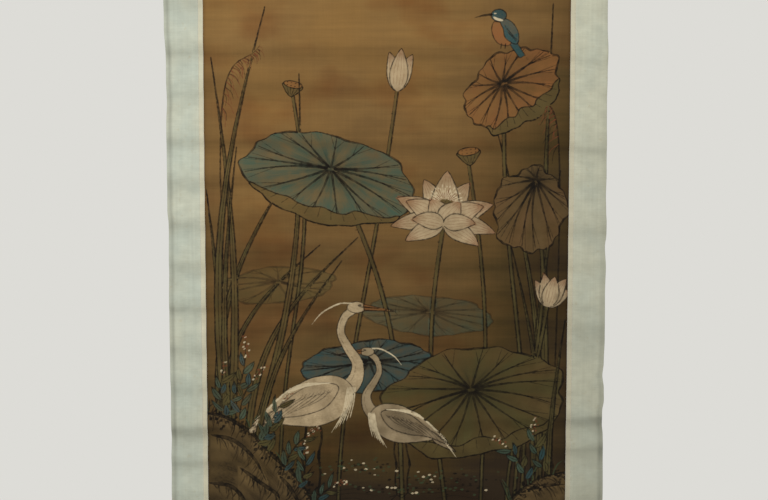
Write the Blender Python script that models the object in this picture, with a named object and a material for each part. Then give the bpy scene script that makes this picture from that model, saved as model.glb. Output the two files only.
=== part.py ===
"""Hanging scroll: an upright picture panel of backed silk, framed by narrow cream filets and set
in a celadon silk mount that hangs by its top edge.

Metres, +Z up. X runs to the right as seen from the front, and the front faces -Y. The origin is
the middle of the top edge, where the scroll is held. Every piece of cloth follows one hanging
surface, which is ruled by the table of FOLDS: the soft cross creases that a rolled scroll keeps.
"""

from typing import NamedTuple

import bmesh
import bpy
import numpy as np

# ---------------------------------------------------------------- sizes, in metres

PICTURE_WIDTH = 0.500
PICTURE_HEIGHT = 1.100
FILET_WIDTH = 0.0062
BORDER_WIDTH = 0.0450
HEAD_HEIGHT = 0.360
FOOT_HEIGHT = 0.240

CLOTH = 0.0012  # silk with its pasted paper backing
SEAM = 0.0003  # clear gap between two neighbouring cloths
ROW_PITCH = 0.0085  # spacing of the cross sections along the drop
WIDE_PITCH = 0.071  # spacing of the points along a cross section of a wide panel
BORDER_PITCH = 0.018  # the same on a side border

PICTURE_LEFT = -PICTURE_WIDTH / 2
PICTURE_RIGHT = PICTURE_WIDTH / 2
PICTURE_TOP = HEAD_HEIGHT + FILET_WIDTH + 2 * SEAM
PICTURE_FOOT = PICTURE_TOP + PICTURE_HEIGHT
TOTAL_DROP = PICTURE_FOOT + FILET_WIDTH + 2 * SEAM + FOOT_HEIGHT
HALF_SPAN = PICTURE_WIDTH / 2 + FILET_WIDTH + BORDER_WIDTH

# ---------------------------------------------------------------- how the cloth hangs

EDGE_CURL_REACH = 0.055  # the side edges lean away from the viewer over this width
EDGE_CURL_LEFT = 0.0022
EDGE_CURL_RIGHT = 0.0036
BELLY = 0.0050  # the whole sheet stands this far forward at half its drop
UPRIGHT_COCKLE = 0.0009  # shallow upright waves across the backed silk
COCKLE_PITCH = 0.260
FOLD_TAIL = 1.8  # the lower flank of a fold is this many times as long as its upper one


class Fold(NamedTuple):
    """One soft cross trough: where it lies, how deep it is from left to right, and its spread."""

    drop: float  # distance below the top edge, on the scroll's middle line
    left: float  # depth at the left edge
    middle: float  # depth on the middle line
    right: float  # depth at the right edge
    spread: float  # half width of its upper flank
    slant: float  # how far the right end lies below the left end


FOLDS = (
    Fold(0.062, 0.0016, 0.0012, 0.0014, 0.016, 0.003),
    Fold(0.118, 0.0021, 0.0014, 0.0012, 0.015, -0.004),
    Fold(0.177, 0.0018, 0.0013, 0.0018, 0.016, 0.005),
    Fold(0.235, 0.0024, 0.0015, 0.0013, 0.015, 0.002),
    Fold(0.293, 0.0019, 0.0013, 0.0016, 0.016, -0.003),
    Fold(0.352, 0.0023, 0.0012, 0.0013, 0.015, 0.004),
    Fold(0.411, 0.0020, 0.0011, 0.0017, 0.016, -0.002),
    Fold(0.472, 0.0025, 0.0012, 0.0012, 0.015, 0.003),
    Fold(0.535, 0.0021, 0.0011, 0.0018, 0.015, -0.004),
    Fold(0.608, 0.0026, 0.0013, 0.0010, 0.014, 0.010),
    Fold(0.674, 0.0029, 0.0015, 0.0017, 0.014, 0.013),
    Fold(0.723, 0.0022, 0.0016, 0.0007, 0.015, -0.008),
    Fold(0.796, 0.0027, 0.0016, 0.0022, 0.013, 0.011),
    Fold(0.846, 0.0026, 0.0015, 0.0008, 0.013, -0.006),
    Fold(0.910, 0.0027, 0.0017, 0.0020, 0.014, 0.009),
    Fold(0.963, 0.0026, 0.0018, 0.0007, 0.014, -0.002),
    Fold(1.019, 0.0029, 0.0018, 0.0005, 0.012, -0.004),
    Fold(1.049, 0.0000, 0.0005, 0.0019, 0.012, 0.000),
    Fold(1.076, 0.0028, 0.0013, 0.0005, 0.014, -0.006),
    Fold(1.134, 0.0029, 0.0013, 0.0008, 0.013, 0.002),
    Fold(1.188, 0.0039, 0.0018, 0.0030, 0.010, -0.015),
    Fold(1.230, 0.0025, 0.0012, 0.0020, 0.012, -0.021),
    Fold(1.290, 0.0024, 0.0014, 0.0014, 0.015, 0.004),
    Fold(1.349, 0.0026, 0.0014, 0.0012, 0.014, -0.003),
    Fold(1.406, 0.0020, 0.0012, 0.0016, 0.015, 0.005),
    Fold(1.464, 0.0024, 0.0013, 0.0012, 0.014, -0.002),
    Fold(1.523, 0.0020, 0.0014, 0.0015, 0.015, 0.004),
    Fold(1.582, 0.0023, 0.0015, 0.0013, 0.014, -0.004),
    Fold(1.642, 0.0017, 0.0012, 0.0011, 0.015, 0.002),
)


class EdgePoint(NamedTuple):
    """How far the two outer edges stray outward from straight, at one height."""

    drop: float
    left: float
    right: float


OUTER_EDGES = (
    EdgePoint(0.000, 0.0012, 0.0004),
    EdgePoint(0.180, 0.0018, 0.0010),
    EdgePoint(0.360, 0.0014, 0.0002),
    EdgePoint(0.480, 0.0022, -0.0004),
    EdgePoint(0.590, 0.0023, -0.0010),
    EdgePoint(0.626, 0.0019, -0.0007),
    EdgePoint(0.659, 0.0001, 0.0006),
    EdgePoint(0.692, -0.0003, 0.0002),
    EdgePoint(0.725, -0.0009, -0.0005),
    EdgePoint(0.758, 0.0001, -0.0004),
    EdgePoint(0.791, 0.0004, 0.0003),
    EdgePoint(0.824, 0.0001, 0.0003),
    EdgePoint(0.857, 0.0004, -0.0003),
    EdgePoint(0.876, 0.0003, 0.0002),
    EdgePoint(0.892, -0.0011, 0.0011),
    EdgePoint(0.909, -0.0010, 0.0013),
    EdgePoint(0.926, -0.0010, -0.0006),
    EdgePoint(0.956, -0.0008, 0.0010),
    EdgePoint(0.989, -0.0004, 0.0002),
    EdgePoint(1.022, -0.0001, 0.0006),
    EdgePoint(1.055, -0.0005, 0.0011),
    EdgePoint(1.088, -0.0001, -0.0001),
    EdgePoint(1.105, -0.0004, -0.0018),
    EdgePoint(1.124, -0.0007, 0.0006),
    EdgePoint(1.140, -0.0006, 0.0010),
    EdgePoint(1.156, -0.0007, -0.0013),
    EdgePoint(1.172, -0.0008, -0.0011),
    EdgePoint(1.190, -0.0009, 0.0004),
    EdgePoint(1.221, -0.0005, 0.0009),
    EdgePoint(1.290, 0.0000, 0.0014),
    EdgePoint(1.400, -0.0006, 0.0006),
    EdgePoint(1.520, 0.0003, -0.0003),
    EdgePoint(TOTAL_DROP, -0.0002, 0.0004),
)


class EdgeStep(NamedTuple):
    """The doubled cloth of a turned edge, a given way in from the edge."""

    inward: float
    front: float  # cloth in front of the hanging surface
    back: float  # cloth behind it


SINGLE = CLOTH / 2
TURNED_SIDE = (
    EdgeStep(0.0000, 0.00030, 0.00070),
    EdgeStep(0.0009, 0.00075, 0.00125),
    EdgeStep(0.0050, 0.00075, 0.00125),
    EdgeStep(0.0058, SINGLE, SINGLE),
)
TURNED_END = (
    EdgeStep(0.0000, 0.00030, 0.00080),
    EdgeStep(0.0010, 0.00085, 0.00150),
    EdgeStep(0.0200, 0.00085, 0.00150),
    EdgeStep(0.0210, SINGLE, SINGLE),
)

# ---------------------------------------------------------------- the hanging surface


def forward(x: float, drop: float) -> float:
    """How far the hanging surface stands towards the viewer at x, a given way down."""
    across = float(np.clip(x / HALF_SPAN, -1.05, 1.05))
    half = drop / TOTAL_DROP
    out = BELLY * np.sin(np.pi * half) ** 2
    reach = abs(x) - (HALF_SPAN - EDGE_CURL_REACH)
    curl = EDGE_CURL_LEFT if x < 0 else EDGE_CURL_RIGHT
    out -= curl * max(0.0, reach / EDGE_CURL_REACH) ** 2
    out += UPRIGHT_COCKLE * np.sin(2 * np.pi * x / COCKLE_PITCH + 1.7 * np.sin(3.1 * drop))
    left = max(0.0, -across) ** 2
    right = max(0.0, across) ** 2
    middle = 1.0 - left - right
    for fold in FOLDS:
        away = (drop - fold.drop - fold.slant * across / 2) / fold.spread
        if away > 0.0:
            away /= FOLD_TAIL
        if abs(away) < 3.5:
            depth = fold.left * left + fold.middle * middle + fold.right * right
            out -= depth * np.exp(-away * away)
    return float(out)


def eased(drop: float, strays: list[float]) -> float:
    """A stray that runs smoothly from each edge point's value to the next one's."""
    place = float(np.interp(drop, [point.drop for point in OUTER_EDGES], range(len(OUTER_EDGES))))
    step = int(place)
    share = place - step
    after = strays[min(step + 1, len(strays) - 1)]
    return strays[step] + (after - strays[step]) * share * share * (3 - 2 * share)


def left_edge(drop: float) -> float:
    """X of the scroll's outer left edge, a given way down."""
    stray = eased(drop, [point.left for point in OUTER_EDGES])
    return PICTURE_LEFT - FILET_WIDTH - 2 * SEAM - BORDER_WIDTH - stray


def right_edge(drop: float) -> float:
    """X of the scroll's outer right edge, a given way down."""
    stray = eased(drop, [point.right for point in OUTER_EDGES])
    return PICTURE_RIGHT + FILET_WIDTH + 2 * SEAM + BORDER_WIDTH + stray


def at(x: float):
    """A straight upright edge at x."""
    return lambda drop: x


def thickness(*edges) -> tuple[float, float]:
    """(front, back) cloth each side of the hanging surface, from (steps, way in) of each edge.

    Cloth is doubled where it is turned back, and thins to its rounded rim at the very edge.
    """
    front, back, rim = SINGLE, SINGLE, SINGLE * 2
    for steps, inward in edges:
        if not steps or inward > steps[-1].inward:
            continue
        places = [step.inward for step in steps]
        here_front = float(np.interp(inward, places, [step.front for step in steps]))
        here_back = float(np.interp(inward, places, [step.back for step in steps]))
        if inward < steps[1].inward - 1e-9:
            rim = min(rim, here_front)
        front, back = max(front, here_front), max(back, here_back)
    return min(front, rim), back


def spaced(length: float, pitch: float, near, far) -> list[float]:
    """Stations along a length: even ones about a pitch apart, and those of a turned edge."""
    start = near[-1].inward if near else 0.0
    end = length - (far[-1].inward if far else 0.0)
    count = max(1, round((end - start) / pitch))
    stations = [start + (end - start) * i / count for i in range(count + 1)]
    stations += [step.inward for step in near[:-1]]
    stations += [length - step.inward for step in far[:-1]]
    return sorted(stations)


# ---------------------------------------------------------------- building one cloth


def finish(name: str, colour: tuple[float, float, float], roughness: float):
    """A plain cloth material."""
    material = bpy.data.materials.new(name)
    material.use_nodes = True
    shader = material.node_tree.nodes["Principled BSDF"]
    shader.inputs["Base Color"].default_value = (*colour, 1.0)
    shader.inputs["Roughness"].default_value = roughness
    shader.inputs["Metallic"].default_value = 0.0
    return material


def cloth(name, material, left, right, top, foot, pitch=WIDE_PITCH, sides=(), ends=()):
    """One closed sheet of cloth between two upright edges and two drops.

    sides names the edges ("left", "right") that are turned back, ends the turned ends ("top",
    "foot"). The front and the back stand off the hanging surface by the cloth's thickness there.
    """
    near_side = TURNED_SIDE if "left" in sides else ()
    far_side = TURNED_SIDE if "right" in sides else ()
    near_end = TURNED_END if "top" in ends else ()
    far_end = TURNED_END if "foot" in ends else ()
    height = foot - top
    width = right((top + foot) / 2) - left((top + foot) / 2)
    columns = spaced(width, pitch, near_side, far_side)
    rows = spaced(height, ROW_PITCH, near_end, far_end)
    hold_left = near_side[-1].inward if near_side else 0.0
    hold_right = far_side[-1].inward if far_side else 0.0

    built = bmesh.new()
    front, back = [], []
    for row in rows:
        drop = top + row
        start, end = left(drop), right(drop)
        # A turned edge keeps its width where the edge strays; the plain cloth takes it up.
        marks = (0.0, hold_left, width - hold_right, width)
        places = (start, start + hold_left, end - hold_right, end)
        front.append([])
        back.append([])
        for column in columns:
            x = float(np.interp(column, marks, places))
            before, behind = thickness(
                (near_side, column),
                (far_side, width - column),
                (near_end, row),
                (far_end, height - row),
            )
            y = -forward(x, drop)
            front[-1].append(built.verts.new((x, y - before, -drop)))
            back[-1].append(built.verts.new((x, y + behind, -drop)))

    last_row, last_column = len(rows) - 1, len(columns) - 1
    for i in range(last_row):
        for j in range(last_column):
            for sheet in (front, back):
                corners = (sheet[i][j], sheet[i + 1][j], sheet[i + 1][j + 1], sheet[i][j + 1])
                built.faces.new(corners)
        for j in (0, last_column):
            built.faces.new((front[i][j], back[i][j], back[i + 1][j], front[i + 1][j]))
    for j in range(last_column):
        for i in (0, last_row):
            built.faces.new((front[i][j], front[i][j + 1], back[i][j + 1], back[i][j]))
    bmesh.ops.recalc_face_normals(built, faces=built.faces)
    mesh = bpy.data.meshes.new(name)
    built.to_mesh(mesh)
    built.free()
    mesh.materials.append(material)
    mesh.shade_smooth()
    mesh.set_sharp_from_angle(angle=np.radians(40))
    piece = bpy.data.objects.new(name, mesh)
    bpy.context.scene.collection.objects.link(piece)
    return piece


def build() -> None:
    """Clears the scene and makes every cloth of the scroll."""
    for old in list(bpy.data.objects):
        bpy.data.objects.remove(old)
    inner_left = PICTURE_LEFT - SEAM - FILET_WIDTH
    inner_right = PICTURE_RIGHT + SEAM + FILET_WIDTH
    inner_top = PICTURE_TOP - SEAM - FILET_WIDTH
    inner_foot = PICTURE_FOOT + SEAM + FILET_WIDTH

    picture = finish("picture_silk", (0.165, 0.105, 0.042), 0.80)
    cloth(
        "painted_panel", picture, at(PICTURE_LEFT), at(PICTURE_RIGHT), PICTURE_TOP, PICTURE_FOOT
    )

    for side, start, end in (
        ("left", inner_left, PICTURE_LEFT - SEAM),
        ("right", PICTURE_RIGHT + SEAM, inner_right),
    ):
        cream = finish(f"cream_silk_{side}", (0.52, 0.48, 0.36), 0.78)
        cloth(f"filet_{side}", cream, at(start), at(end), PICTURE_TOP, PICTURE_FOOT)
    for place, top, foot in (
        ("top", inner_top, PICTURE_TOP - SEAM),
        ("bottom", PICTURE_FOOT + SEAM, inner_foot),
    ):
        cream = finish(f"cream_silk_{place}", (0.52, 0.48, 0.36), 0.78)
        cloth(f"filet_{place}", cream, at(inner_left), at(inner_right), top, foot)

    celadon = (0.42, 0.44, 0.36)
    cloth(
        "border_left",
        finish("celadon_silk_left", celadon, 0.76),
        left_edge,
        at(inner_left - SEAM),
        inner_top,
        inner_foot,
        BORDER_PITCH,
        sides=("left",),
    )
    cloth(
        "border_right",
        finish("celadon_silk_right", celadon, 0.76),
        at(inner_right + SEAM),
        right_edge,
        inner_top,
        inner_foot,
        BORDER_PITCH,
        sides=("right",),
    )
    both = ("left", "right")
    cloth(
        "head_panel",
        finish("celadon_silk_head", celadon, 0.76),
        left_edge,
        right_edge,
        0.0,
        inner_top - SEAM,
        sides=both,
        ends=("top",),
    )
    cloth(
        "foot_panel",
        finish("celadon_silk_foot", celadon, 0.76),
        left_edge,
        right_edge,
        inner_foot + SEAM,
        TOTAL_DROP,
        sides=both,
        ends=("foot",),
    )


build()
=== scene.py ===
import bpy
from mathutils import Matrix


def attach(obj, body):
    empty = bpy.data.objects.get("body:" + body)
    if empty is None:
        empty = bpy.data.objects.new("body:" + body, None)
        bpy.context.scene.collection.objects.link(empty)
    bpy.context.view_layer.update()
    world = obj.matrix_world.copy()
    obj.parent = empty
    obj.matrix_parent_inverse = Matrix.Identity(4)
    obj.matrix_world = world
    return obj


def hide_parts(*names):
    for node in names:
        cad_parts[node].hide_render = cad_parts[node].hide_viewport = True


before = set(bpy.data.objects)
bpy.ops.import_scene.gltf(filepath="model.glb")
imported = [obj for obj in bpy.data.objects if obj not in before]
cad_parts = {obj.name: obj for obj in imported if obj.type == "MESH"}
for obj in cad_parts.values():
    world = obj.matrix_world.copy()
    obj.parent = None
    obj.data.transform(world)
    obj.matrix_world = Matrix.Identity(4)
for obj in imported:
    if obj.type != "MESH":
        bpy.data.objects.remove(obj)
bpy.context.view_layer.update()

# Dresses a hanging scroll: aged silk painted with a lotus pond, cream filets and a celadon silk mount.
# Metres, +Z up; the front faces -Y. A place on the scroll is given by x and by its drop below the top
# edge. A place in the picture is given in millimetres from the picture's middle, u to the right, v up.

import logging
import math
from dataclasses import dataclass, field
from enum import Enum
from functools import partial
from typing import Callable, NamedTuple, Sequence

import bpy
import numpy as np

Array = np.ndarray
Place = tuple[float, float]
Points = Sequence[Sequence[float]]
Window = tuple[slice, slice]
Material = bpy.types.Material
Socket = bpy.types.NodeSocket
Sockets = bpy.types.bpy_prop_collection
Tree = bpy.types.NodeTree
LOG = logging.getLogger("scroll")
MM = 0.001


# ---- small helpers


def linear(colour: str) -> tuple[float, float, float, float]:
    """Turns an sRGB hex colour into linear light.

    Args:
        colour: six hex digits.

    Returns:
        Linear red, green, blue and an alpha of 1.
    """
    parts = [int(colour[i : i + 2], 16) / 255 for i in (0, 2, 4)]
    light = [p / 12.92 if p <= 0.04045 else ((p + 0.055) / 1.055) ** 2.4 for p in parts]
    return light[0], light[1], light[2], 1.0


def put(
    tree: Tree, kind: str, feed: dict | tuple = (), stops: dict[float, str] | None = None, **settings: object
) -> Sockets:
    """Adds one shader node, with its settings and what feeds it.

    Args:
        tree: the node tree that it goes in.
        kind: the node's type after "ShaderNode".
        feed: a constant, or the output socket that it is linked from, for each input in their order;
            or a dict of these by the input's name or number.
        stops: for a colour ramp, place on it to sRGB hex colour, in order.
        settings: the node's own properties.

    Returns:
        The new node's outputs.
    """
    node = tree.nodes.new("ShaderNode" + kind)
    for name, value in settings.items():
        setattr(node, name, value)
    for name, value in feed.items() if isinstance(feed, dict) else enumerate(feed):
        if isinstance(value, Socket):
            tree.links.new(value, node.inputs[name])
        else:
            node.inputs[name].default_value = value
    for number, (place, colour) in enumerate((stops or {}).items()):
        elements = node.color_ramp.elements
        element = elements[number] if number < len(elements) else elements.new(place)
        element.position, element.color = place, linear(colour)
    return node.outputs


def stand(name: str, data: bpy.types.ID) -> bpy.types.Object:
    """Adds an object to the scene.

    Args:
        name: its name.
        data: its mesh, light or camera.

    Returns:
        The object.
    """
    made = bpy.data.objects.new(name, data)
    bpy.context.scene.collection.objects.link(made)
    return made


def curve_through(points: Points, steps: int = 10, closed: bool = False) -> Array:
    """A smooth line through a few points.

    Between two points it is the Catmull-Rom cubic of their two neighbours and themselves.

    Args:
        points: the places it passes, in order.
        steps: how many short chords make each span.
        closed: whether it runs back to its start.

    Returns:
        The places along the line, one row each.
    """
    p = np.asarray(points, float)
    if closed:
        p = np.concatenate([p[-1:], p, p[:2]])
    else:
        p = np.concatenate([2 * p[:1] - p[1:2], p, 2 * p[-1:] - p[-2:-1]])
    t = np.arange(steps)[:, None] / steps
    a, b, c, d = (p[i : len(p) - 3 + i, None, :] for i in range(4))
    spans = 0.5 * (2 * b + (c - a) * t + (2 * a - 5 * b + 4 * c - d) * t**2 + (3 * b - a - 3 * c + d) * t**3)
    line = spans.reshape(-1, p.shape[1])
    return line if closed else np.concatenate([line, p[-2:-1]])


def ribbon(path: Array, half_widths: Array) -> Array:
    """The outline of a stem or blade: its path offset to both sides by its half width there.

    Args:
        path: places along the middle.
        half_widths: half its width at each.

    Returns:
        The closed outline.
    """
    along = np.gradient(path, axis=0)
    along /= np.linalg.norm(along, axis=1, keepdims=True) + 1e-9
    side = np.stack([-along[:, 1], along[:, 0]], 1) * np.asarray(half_widths)[:, None]
    return np.concatenate([path + side, (path - side)[::-1]])


def turned(points: Points | Array, degrees: float) -> Array:
    """Points turned about the origin, anticlockwise."""
    a = math.radians(degrees)
    return np.asarray(points, float) @ np.array([[math.cos(a), math.sin(a)], [-math.sin(a), math.cos(a)]])


def oval(wide: float, high: float, count: int) -> Array:
    """Evenly turned places round an upright oval, given half its width and height."""
    turn = np.linspace(0, 2 * np.pi, count, endpoint=False)
    return np.stack([wide * np.cos(turn), high * np.sin(turn)], 1)


def eased(share: Array) -> Array:
    """A share from 0 to 1 that starts and ends gently: three of its squares less two of its cubes."""
    return share * share * (3 - 2 * share)


def bell(away: Array) -> Array:
    """A smooth hump: 1 where away is 0, fading to nothing past about 2."""
    return np.exp(-(away**2))


def pressed(count: int, half: float, start: float = 0.35, end: float = 0.1) -> Array:
    """Half widths at the places along a brush line: the greatest, and its shares at start and end."""
    t = np.linspace(0, 1, count)
    return half * (start * (1 - t) ** 3 + end * t**3 + np.sin(np.pi * t**0.7) ** 0.8).clip(end, 1.0)


# ---- how the scroll hangs


class Fold(NamedTuple):
    """One soft cross trough that the rolled cloth keeps."""

    drop: float  # distance below the top edge, on the middle line
    left: float  # depth at the left edge
    middle: float  # depth on the middle line
    right: float  # depth at the right edge
    spread: float  # half width of its upper flank
    slant: float  # how far its right end lies below its left end


class EdgePoint(NamedTuple):
    """How far the two outer edges stray outward from straight, at one height."""

    drop: float
    left: float
    right: float


class Side(Enum):
    """The two upright edges of the scroll."""

    LEFT = -1
    RIGHT = 1


class Patch(NamedTuple):
    """A broad soft mark on the cloth."""

    across: float
    drop: float
    wide: float  # half its width
    high: float  # half its height
    amount: float

    def over(self, x: Array, drop: Array) -> Array:
        """How strong the mark is at each place: its amount times a bell across and a bell down."""
        return self.amount * bell((x - self.across) / self.wide) * bell((drop - self.drop) / self.high)


@dataclass(frozen=True)
class Hanging:
    """The surface that every cloth of the scroll follows, in metres."""

    picture_width: float = 0.5
    picture_height: float = 1.1
    filet: float = 0.0062
    seam: float = 0.0003
    border: float = 0.045
    head: float = 0.36
    foot: float = 0.24
    curl_reach: float = 0.055
    curl_left: float = 0.0022
    curl_right: float = 0.0036
    belly: float = 0.005
    cockle: float = 0.0009
    cockle_pitch: float = 0.26
    fine_cockle: float = 0.00014
    tail: float = 1.8  # a fold's lower flank is this many times as long as its upper one
    full_dark_depth: float = 0.003  # a trough this deep is drawn as dark as it gets: painted shade with some dust
    shade_rise: float = 0.006  # the darkening lies this far above a trough's bottom, on the upper flank, where shade falls
    folds: tuple[Fold, ...] = tuple(Fold(*row) for row in (
        (0.062, 0.0016, 0.0012, 0.0014, 0.016, 0.003),
        (0.118, 0.0021, 0.0014, 0.0012, 0.015, -0.004),
        (0.177, 0.0018, 0.0013, 0.0018, 0.016, 0.005),
        (0.235, 0.0024, 0.0015, 0.0013, 0.015, 0.002),
        (0.293, 0.0019, 0.0013, 0.0016, 0.016, -0.003),
        (0.352, 0.0023, 0.0012, 0.0013, 0.015, 0.004),
        (0.411, 0.0020, 0.0011, 0.0017, 0.016, -0.002),
        (0.472, 0.0025, 0.0012, 0.0012, 0.015, 0.003),
        (0.535, 0.0021, 0.0011, 0.0018, 0.015, -0.004),
        (0.608, 0.0026, 0.0013, 0.0010, 0.014, 0.010),
        (0.674, 0.0029, 0.0015, 0.0017, 0.014, 0.013),
        (0.723, 0.0022, 0.0016, 0.0007, 0.015, -0.008),
        (0.796, 0.0027, 0.0016, 0.0022, 0.013, 0.011),
        (0.846, 0.0026, 0.0015, 0.0008, 0.013, -0.006),
        (0.910, 0.0027, 0.0017, 0.0020, 0.014, 0.009),
        (0.963, 0.0026, 0.0018, 0.0007, 0.014, -0.002),
        (1.019, 0.0029, 0.0018, 0.0005, 0.012, -0.004),
        (1.049, 0.0000, 0.0005, 0.0019, 0.012, 0.000),
        (1.076, 0.0028, 0.0013, 0.0005, 0.014, -0.006),
        (1.134, 0.0029, 0.0013, 0.0008, 0.013, 0.002),
        (1.188, 0.0039, 0.0018, 0.0030, 0.010, -0.015),
        (1.230, 0.0025, 0.0012, 0.0020, 0.012, -0.021),
        (1.290, 0.0024, 0.0014, 0.0014, 0.015, 0.004),
        (1.349, 0.0026, 0.0014, 0.0012, 0.014, -0.003),
        (1.406, 0.0020, 0.0012, 0.0016, 0.015, 0.005),
        (1.464, 0.0024, 0.0013, 0.0012, 0.014, -0.002),
        (1.523, 0.0020, 0.0014, 0.0015, 0.015, 0.004),
        (1.582, 0.0023, 0.0015, 0.0013, 0.014, -0.004),
        (1.642, 0.0017, 0.0012, 0.0011, 0.015, 0.002),
    ))
    creases: tuple[Fold, ...] = tuple(Fold(*row) for row in (
        (0.6670, 0.00012, 0.00008, 0.00006, 0.0028, 0.013),
        (0.7870, 0.00008, 0.00008, 0.00016, 0.0028, 0.011),
        (0.9020, 0.00010, 0.00008, 0.00012, 0.0026, 0.009),
        (1.0110, 0.00018, 0.00010, 0.00004, 0.0026, -0.004),
        (1.1745, 0.00030, 0.00014, 0.00044, 0.0034, -0.015),
        (1.2200, 0.00014, 0.00008, 0.00020, 0.0026, -0.021),
    ))
    edges: tuple[EdgePoint, ...] = tuple(EdgePoint(*row) for row in (
        (0.000, 0.0012, 0.0004), (0.180, 0.0018, 0.0010), (0.360, 0.0014, 0.0002),
        (0.480, 0.0022, -0.0004), (0.590, 0.0023, -0.0010), (0.626, 0.0019, -0.0007),
        (0.659, 0.0001, 0.0006), (0.692, -0.0003, 0.0002), (0.725, -0.0009, -0.0005),
        (0.758, 0.0001, -0.0004), (0.791, 0.0004, 0.0003), (0.824, 0.0001, 0.0003),
        (0.857, 0.0004, -0.0003), (0.876, 0.0003, 0.0002), (0.892, -0.0011, 0.0011),
        (0.909, -0.0010, 0.0013), (0.926, -0.0010, -0.0006), (0.956, -0.0008, 0.0010),
        (0.989, -0.0004, 0.0002), (1.022, -0.0001, 0.0006), (1.055, -0.0005, 0.0011),
        (1.088, -0.0001, -0.0001), (1.105, -0.0004, -0.0018), (1.124, -0.0007, 0.0006),
        (1.140, -0.0006, 0.0010), (1.156, -0.0007, -0.0013), (1.172, -0.0008, -0.0011),
        (1.190, -0.0009, 0.0004), (1.221, -0.0005, 0.0009), (1.290, 0.0000, 0.0014),
        (1.400, -0.0006, 0.0006), (1.520, 0.0003, -0.0003), (1.7136, -0.0002, 0.0004),
    ))

    @property
    def picture_top(self) -> float:
        """The drop of the picture's upper edge."""
        return self.head + self.filet + 2 * self.seam

    @property
    def picture_foot(self) -> float:
        """The drop of the picture's lower edge."""
        return self.picture_top + self.picture_height

    @property
    def total(self) -> float:
        """The scroll's whole drop."""
        return self.picture_foot + self.filet + 2 * self.seam + self.foot

    @property
    def half_span(self) -> float:
        """Half the scroll's mean width."""
        return self.picture_width / 2 + self.filet + self.border

    @property
    def inner(self) -> float:
        """How far the filets' outer edges stand from the middle line."""
        return self.picture_width / 2 + self.seam + self.filet

    def troughs(self, x: Array, drop: Array, folds: tuple[Fold, ...]) -> Array:
        """Depth of some folds: the sum of a bell of each one's depth and spread.

        Args:
            x: places across the scroll.
            drop: the same places' drops.
            folds: the folds.

        Returns:
            How far they set the cloth back.
        """
        most = 1.05  # a little past the edges, where the cloth strays outward
        across = np.clip(x / self.half_span, -most, most)
        left, right = np.maximum(0, -across) ** 2, np.maximum(0, across) ** 2
        deep = np.zeros(np.broadcast(x, drop).shape)
        for fold in folds:
            away = (drop - fold.drop - fold.slant * across / 2) / fold.spread
            away = np.where(away > 0, away / self.tail, away)
            deep += (fold.left * left + fold.middle * (1 - left - right) + fold.right * right) * bell(away)
        return deep

    def dust_and_shade(self, x: Array, drop: Array) -> Array:
        """How dark the troughs are drawn, from 0 to 1, by their depth just below each place: painted shade
        with some dust.
        """
        return np.clip(self.troughs(x, drop + self.shade_rise, self.folds) / self.full_dark_depth, 0, 1)

    def forward(self, x: Array, drop: Array) -> Array:
        """How far the surface stands towards the viewer.

        A belly that is a squared half sine down the drop, less a squared curl at the two side edges,
        plus shallow upright sine waves and finer cockles of the paper, less the folds and creases.

        Args:
            x: places across the scroll.
            drop: the same places' drops.

        Returns:
            The distance in front of the hanging plane.
        """
        curl = np.where(x < 0, self.curl_left, self.curl_right)
        reach = np.maximum(0, np.abs(x) - (self.half_span - self.curl_reach)) / self.curl_reach
        out = self.belly * np.sin(np.pi * drop / self.total) ** 2 - curl * reach**2
        out = out + self.cockle * np.sin(2 * np.pi * x / self.cockle_pitch + 1.7 * np.sin(3.1 * drop))
        fine = np.sin(61 * x + 3 * np.sin(17 * drop)) * np.sin(83 * drop + 2 * np.sin(23 * x))
        fine = fine + 0.6 * np.sin(140 * x + 9 * drop) * np.sin(190 * drop + 31 * x)
        out = out + self.fine_cockle * fine
        return out - self.troughs(x, drop, self.folds) - self.troughs(x, drop, self.creases)

    def edge(self, side: Side, drop: Array) -> Array:
        """An outer edge, whose stray runs smoothly from each edge point's value to the next one's.

        Args:
            side: which of the two.
            drop: the drops.

        Returns:
            Its x at each drop.
        """
        table = np.array(self.edges + self.edges[-1:])
        strays = table[:, 1 if side is Side.LEFT else 2]
        place = np.interp(drop, table[:-1, 0], np.arange(len(self.edges)))
        step = np.floor(place).astype(int)
        stray = strays[step] + (strays[step + 1] - strays[step]) * eased(place - step)
        return side.value * (self.inner + self.seam + self.border + stray)


class Step(NamedTuple):
    """Cloth each side of the surface, a given way in from a turned edge."""

    inward: float
    front: float
    back: float


SINGLE = 0.0006  # single cloth on each side of the surface

# A turned side edge, and a turned end with its flat hem.
TURNED_SIDE = (
    Step(0.0000, 0.00010, 0.00040),
    Step(0.0003, 0.00050, 0.00100),
    Step(0.0009, 0.00075, 0.00125),
    Step(0.0050, 0.00075, 0.00125),
    Step(0.0057, SINGLE, SINGLE),
)
TURNED_END = (
    Step(0.0000, 0.00010, 0.00050),
    Step(0.0004, 0.00060, 0.00120),
    *(Step(way, 0.00085, 0.00150) for way in (0.0012, 0.0050, 0.0090, 0.0130, 0.0165, 0.0185, 0.0200)),
    Step(0.0208, SINGLE, SINGLE),
)


# ---- meshes of cloth


def turned_in(steps: Sequence[Step]) -> float:
    """How far in a turned edge goes, or 0 where the edge isn't turned."""
    return steps[-1].inward if steps else 0.0


def stations(
    length: float, pitch: float, near: Sequence[Step] = (), far: Sequence[Step] = (), by: int = 1
) -> Array:
    """Places along a length: even ones, and those where a turned edge changes thickness.

    Args:
        length: the whole length.
        pitch: about how far apart the even ones stand.
        near: the turned edge at the start.
        far: the turned edge at the end.
        by: the even spans are a multiple of this many.

    Returns:
        The places in order.
    """
    start, end = turned_in(near), length - turned_in(far)
    count = max(1, round((end - start) / pitch / by)) * by
    extra = [step.inward for step in near[:-1]] + [length - step.inward for step in far[:-1]]
    return np.sort(np.concatenate([np.linspace(start, end, count + 1), extra]))


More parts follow.
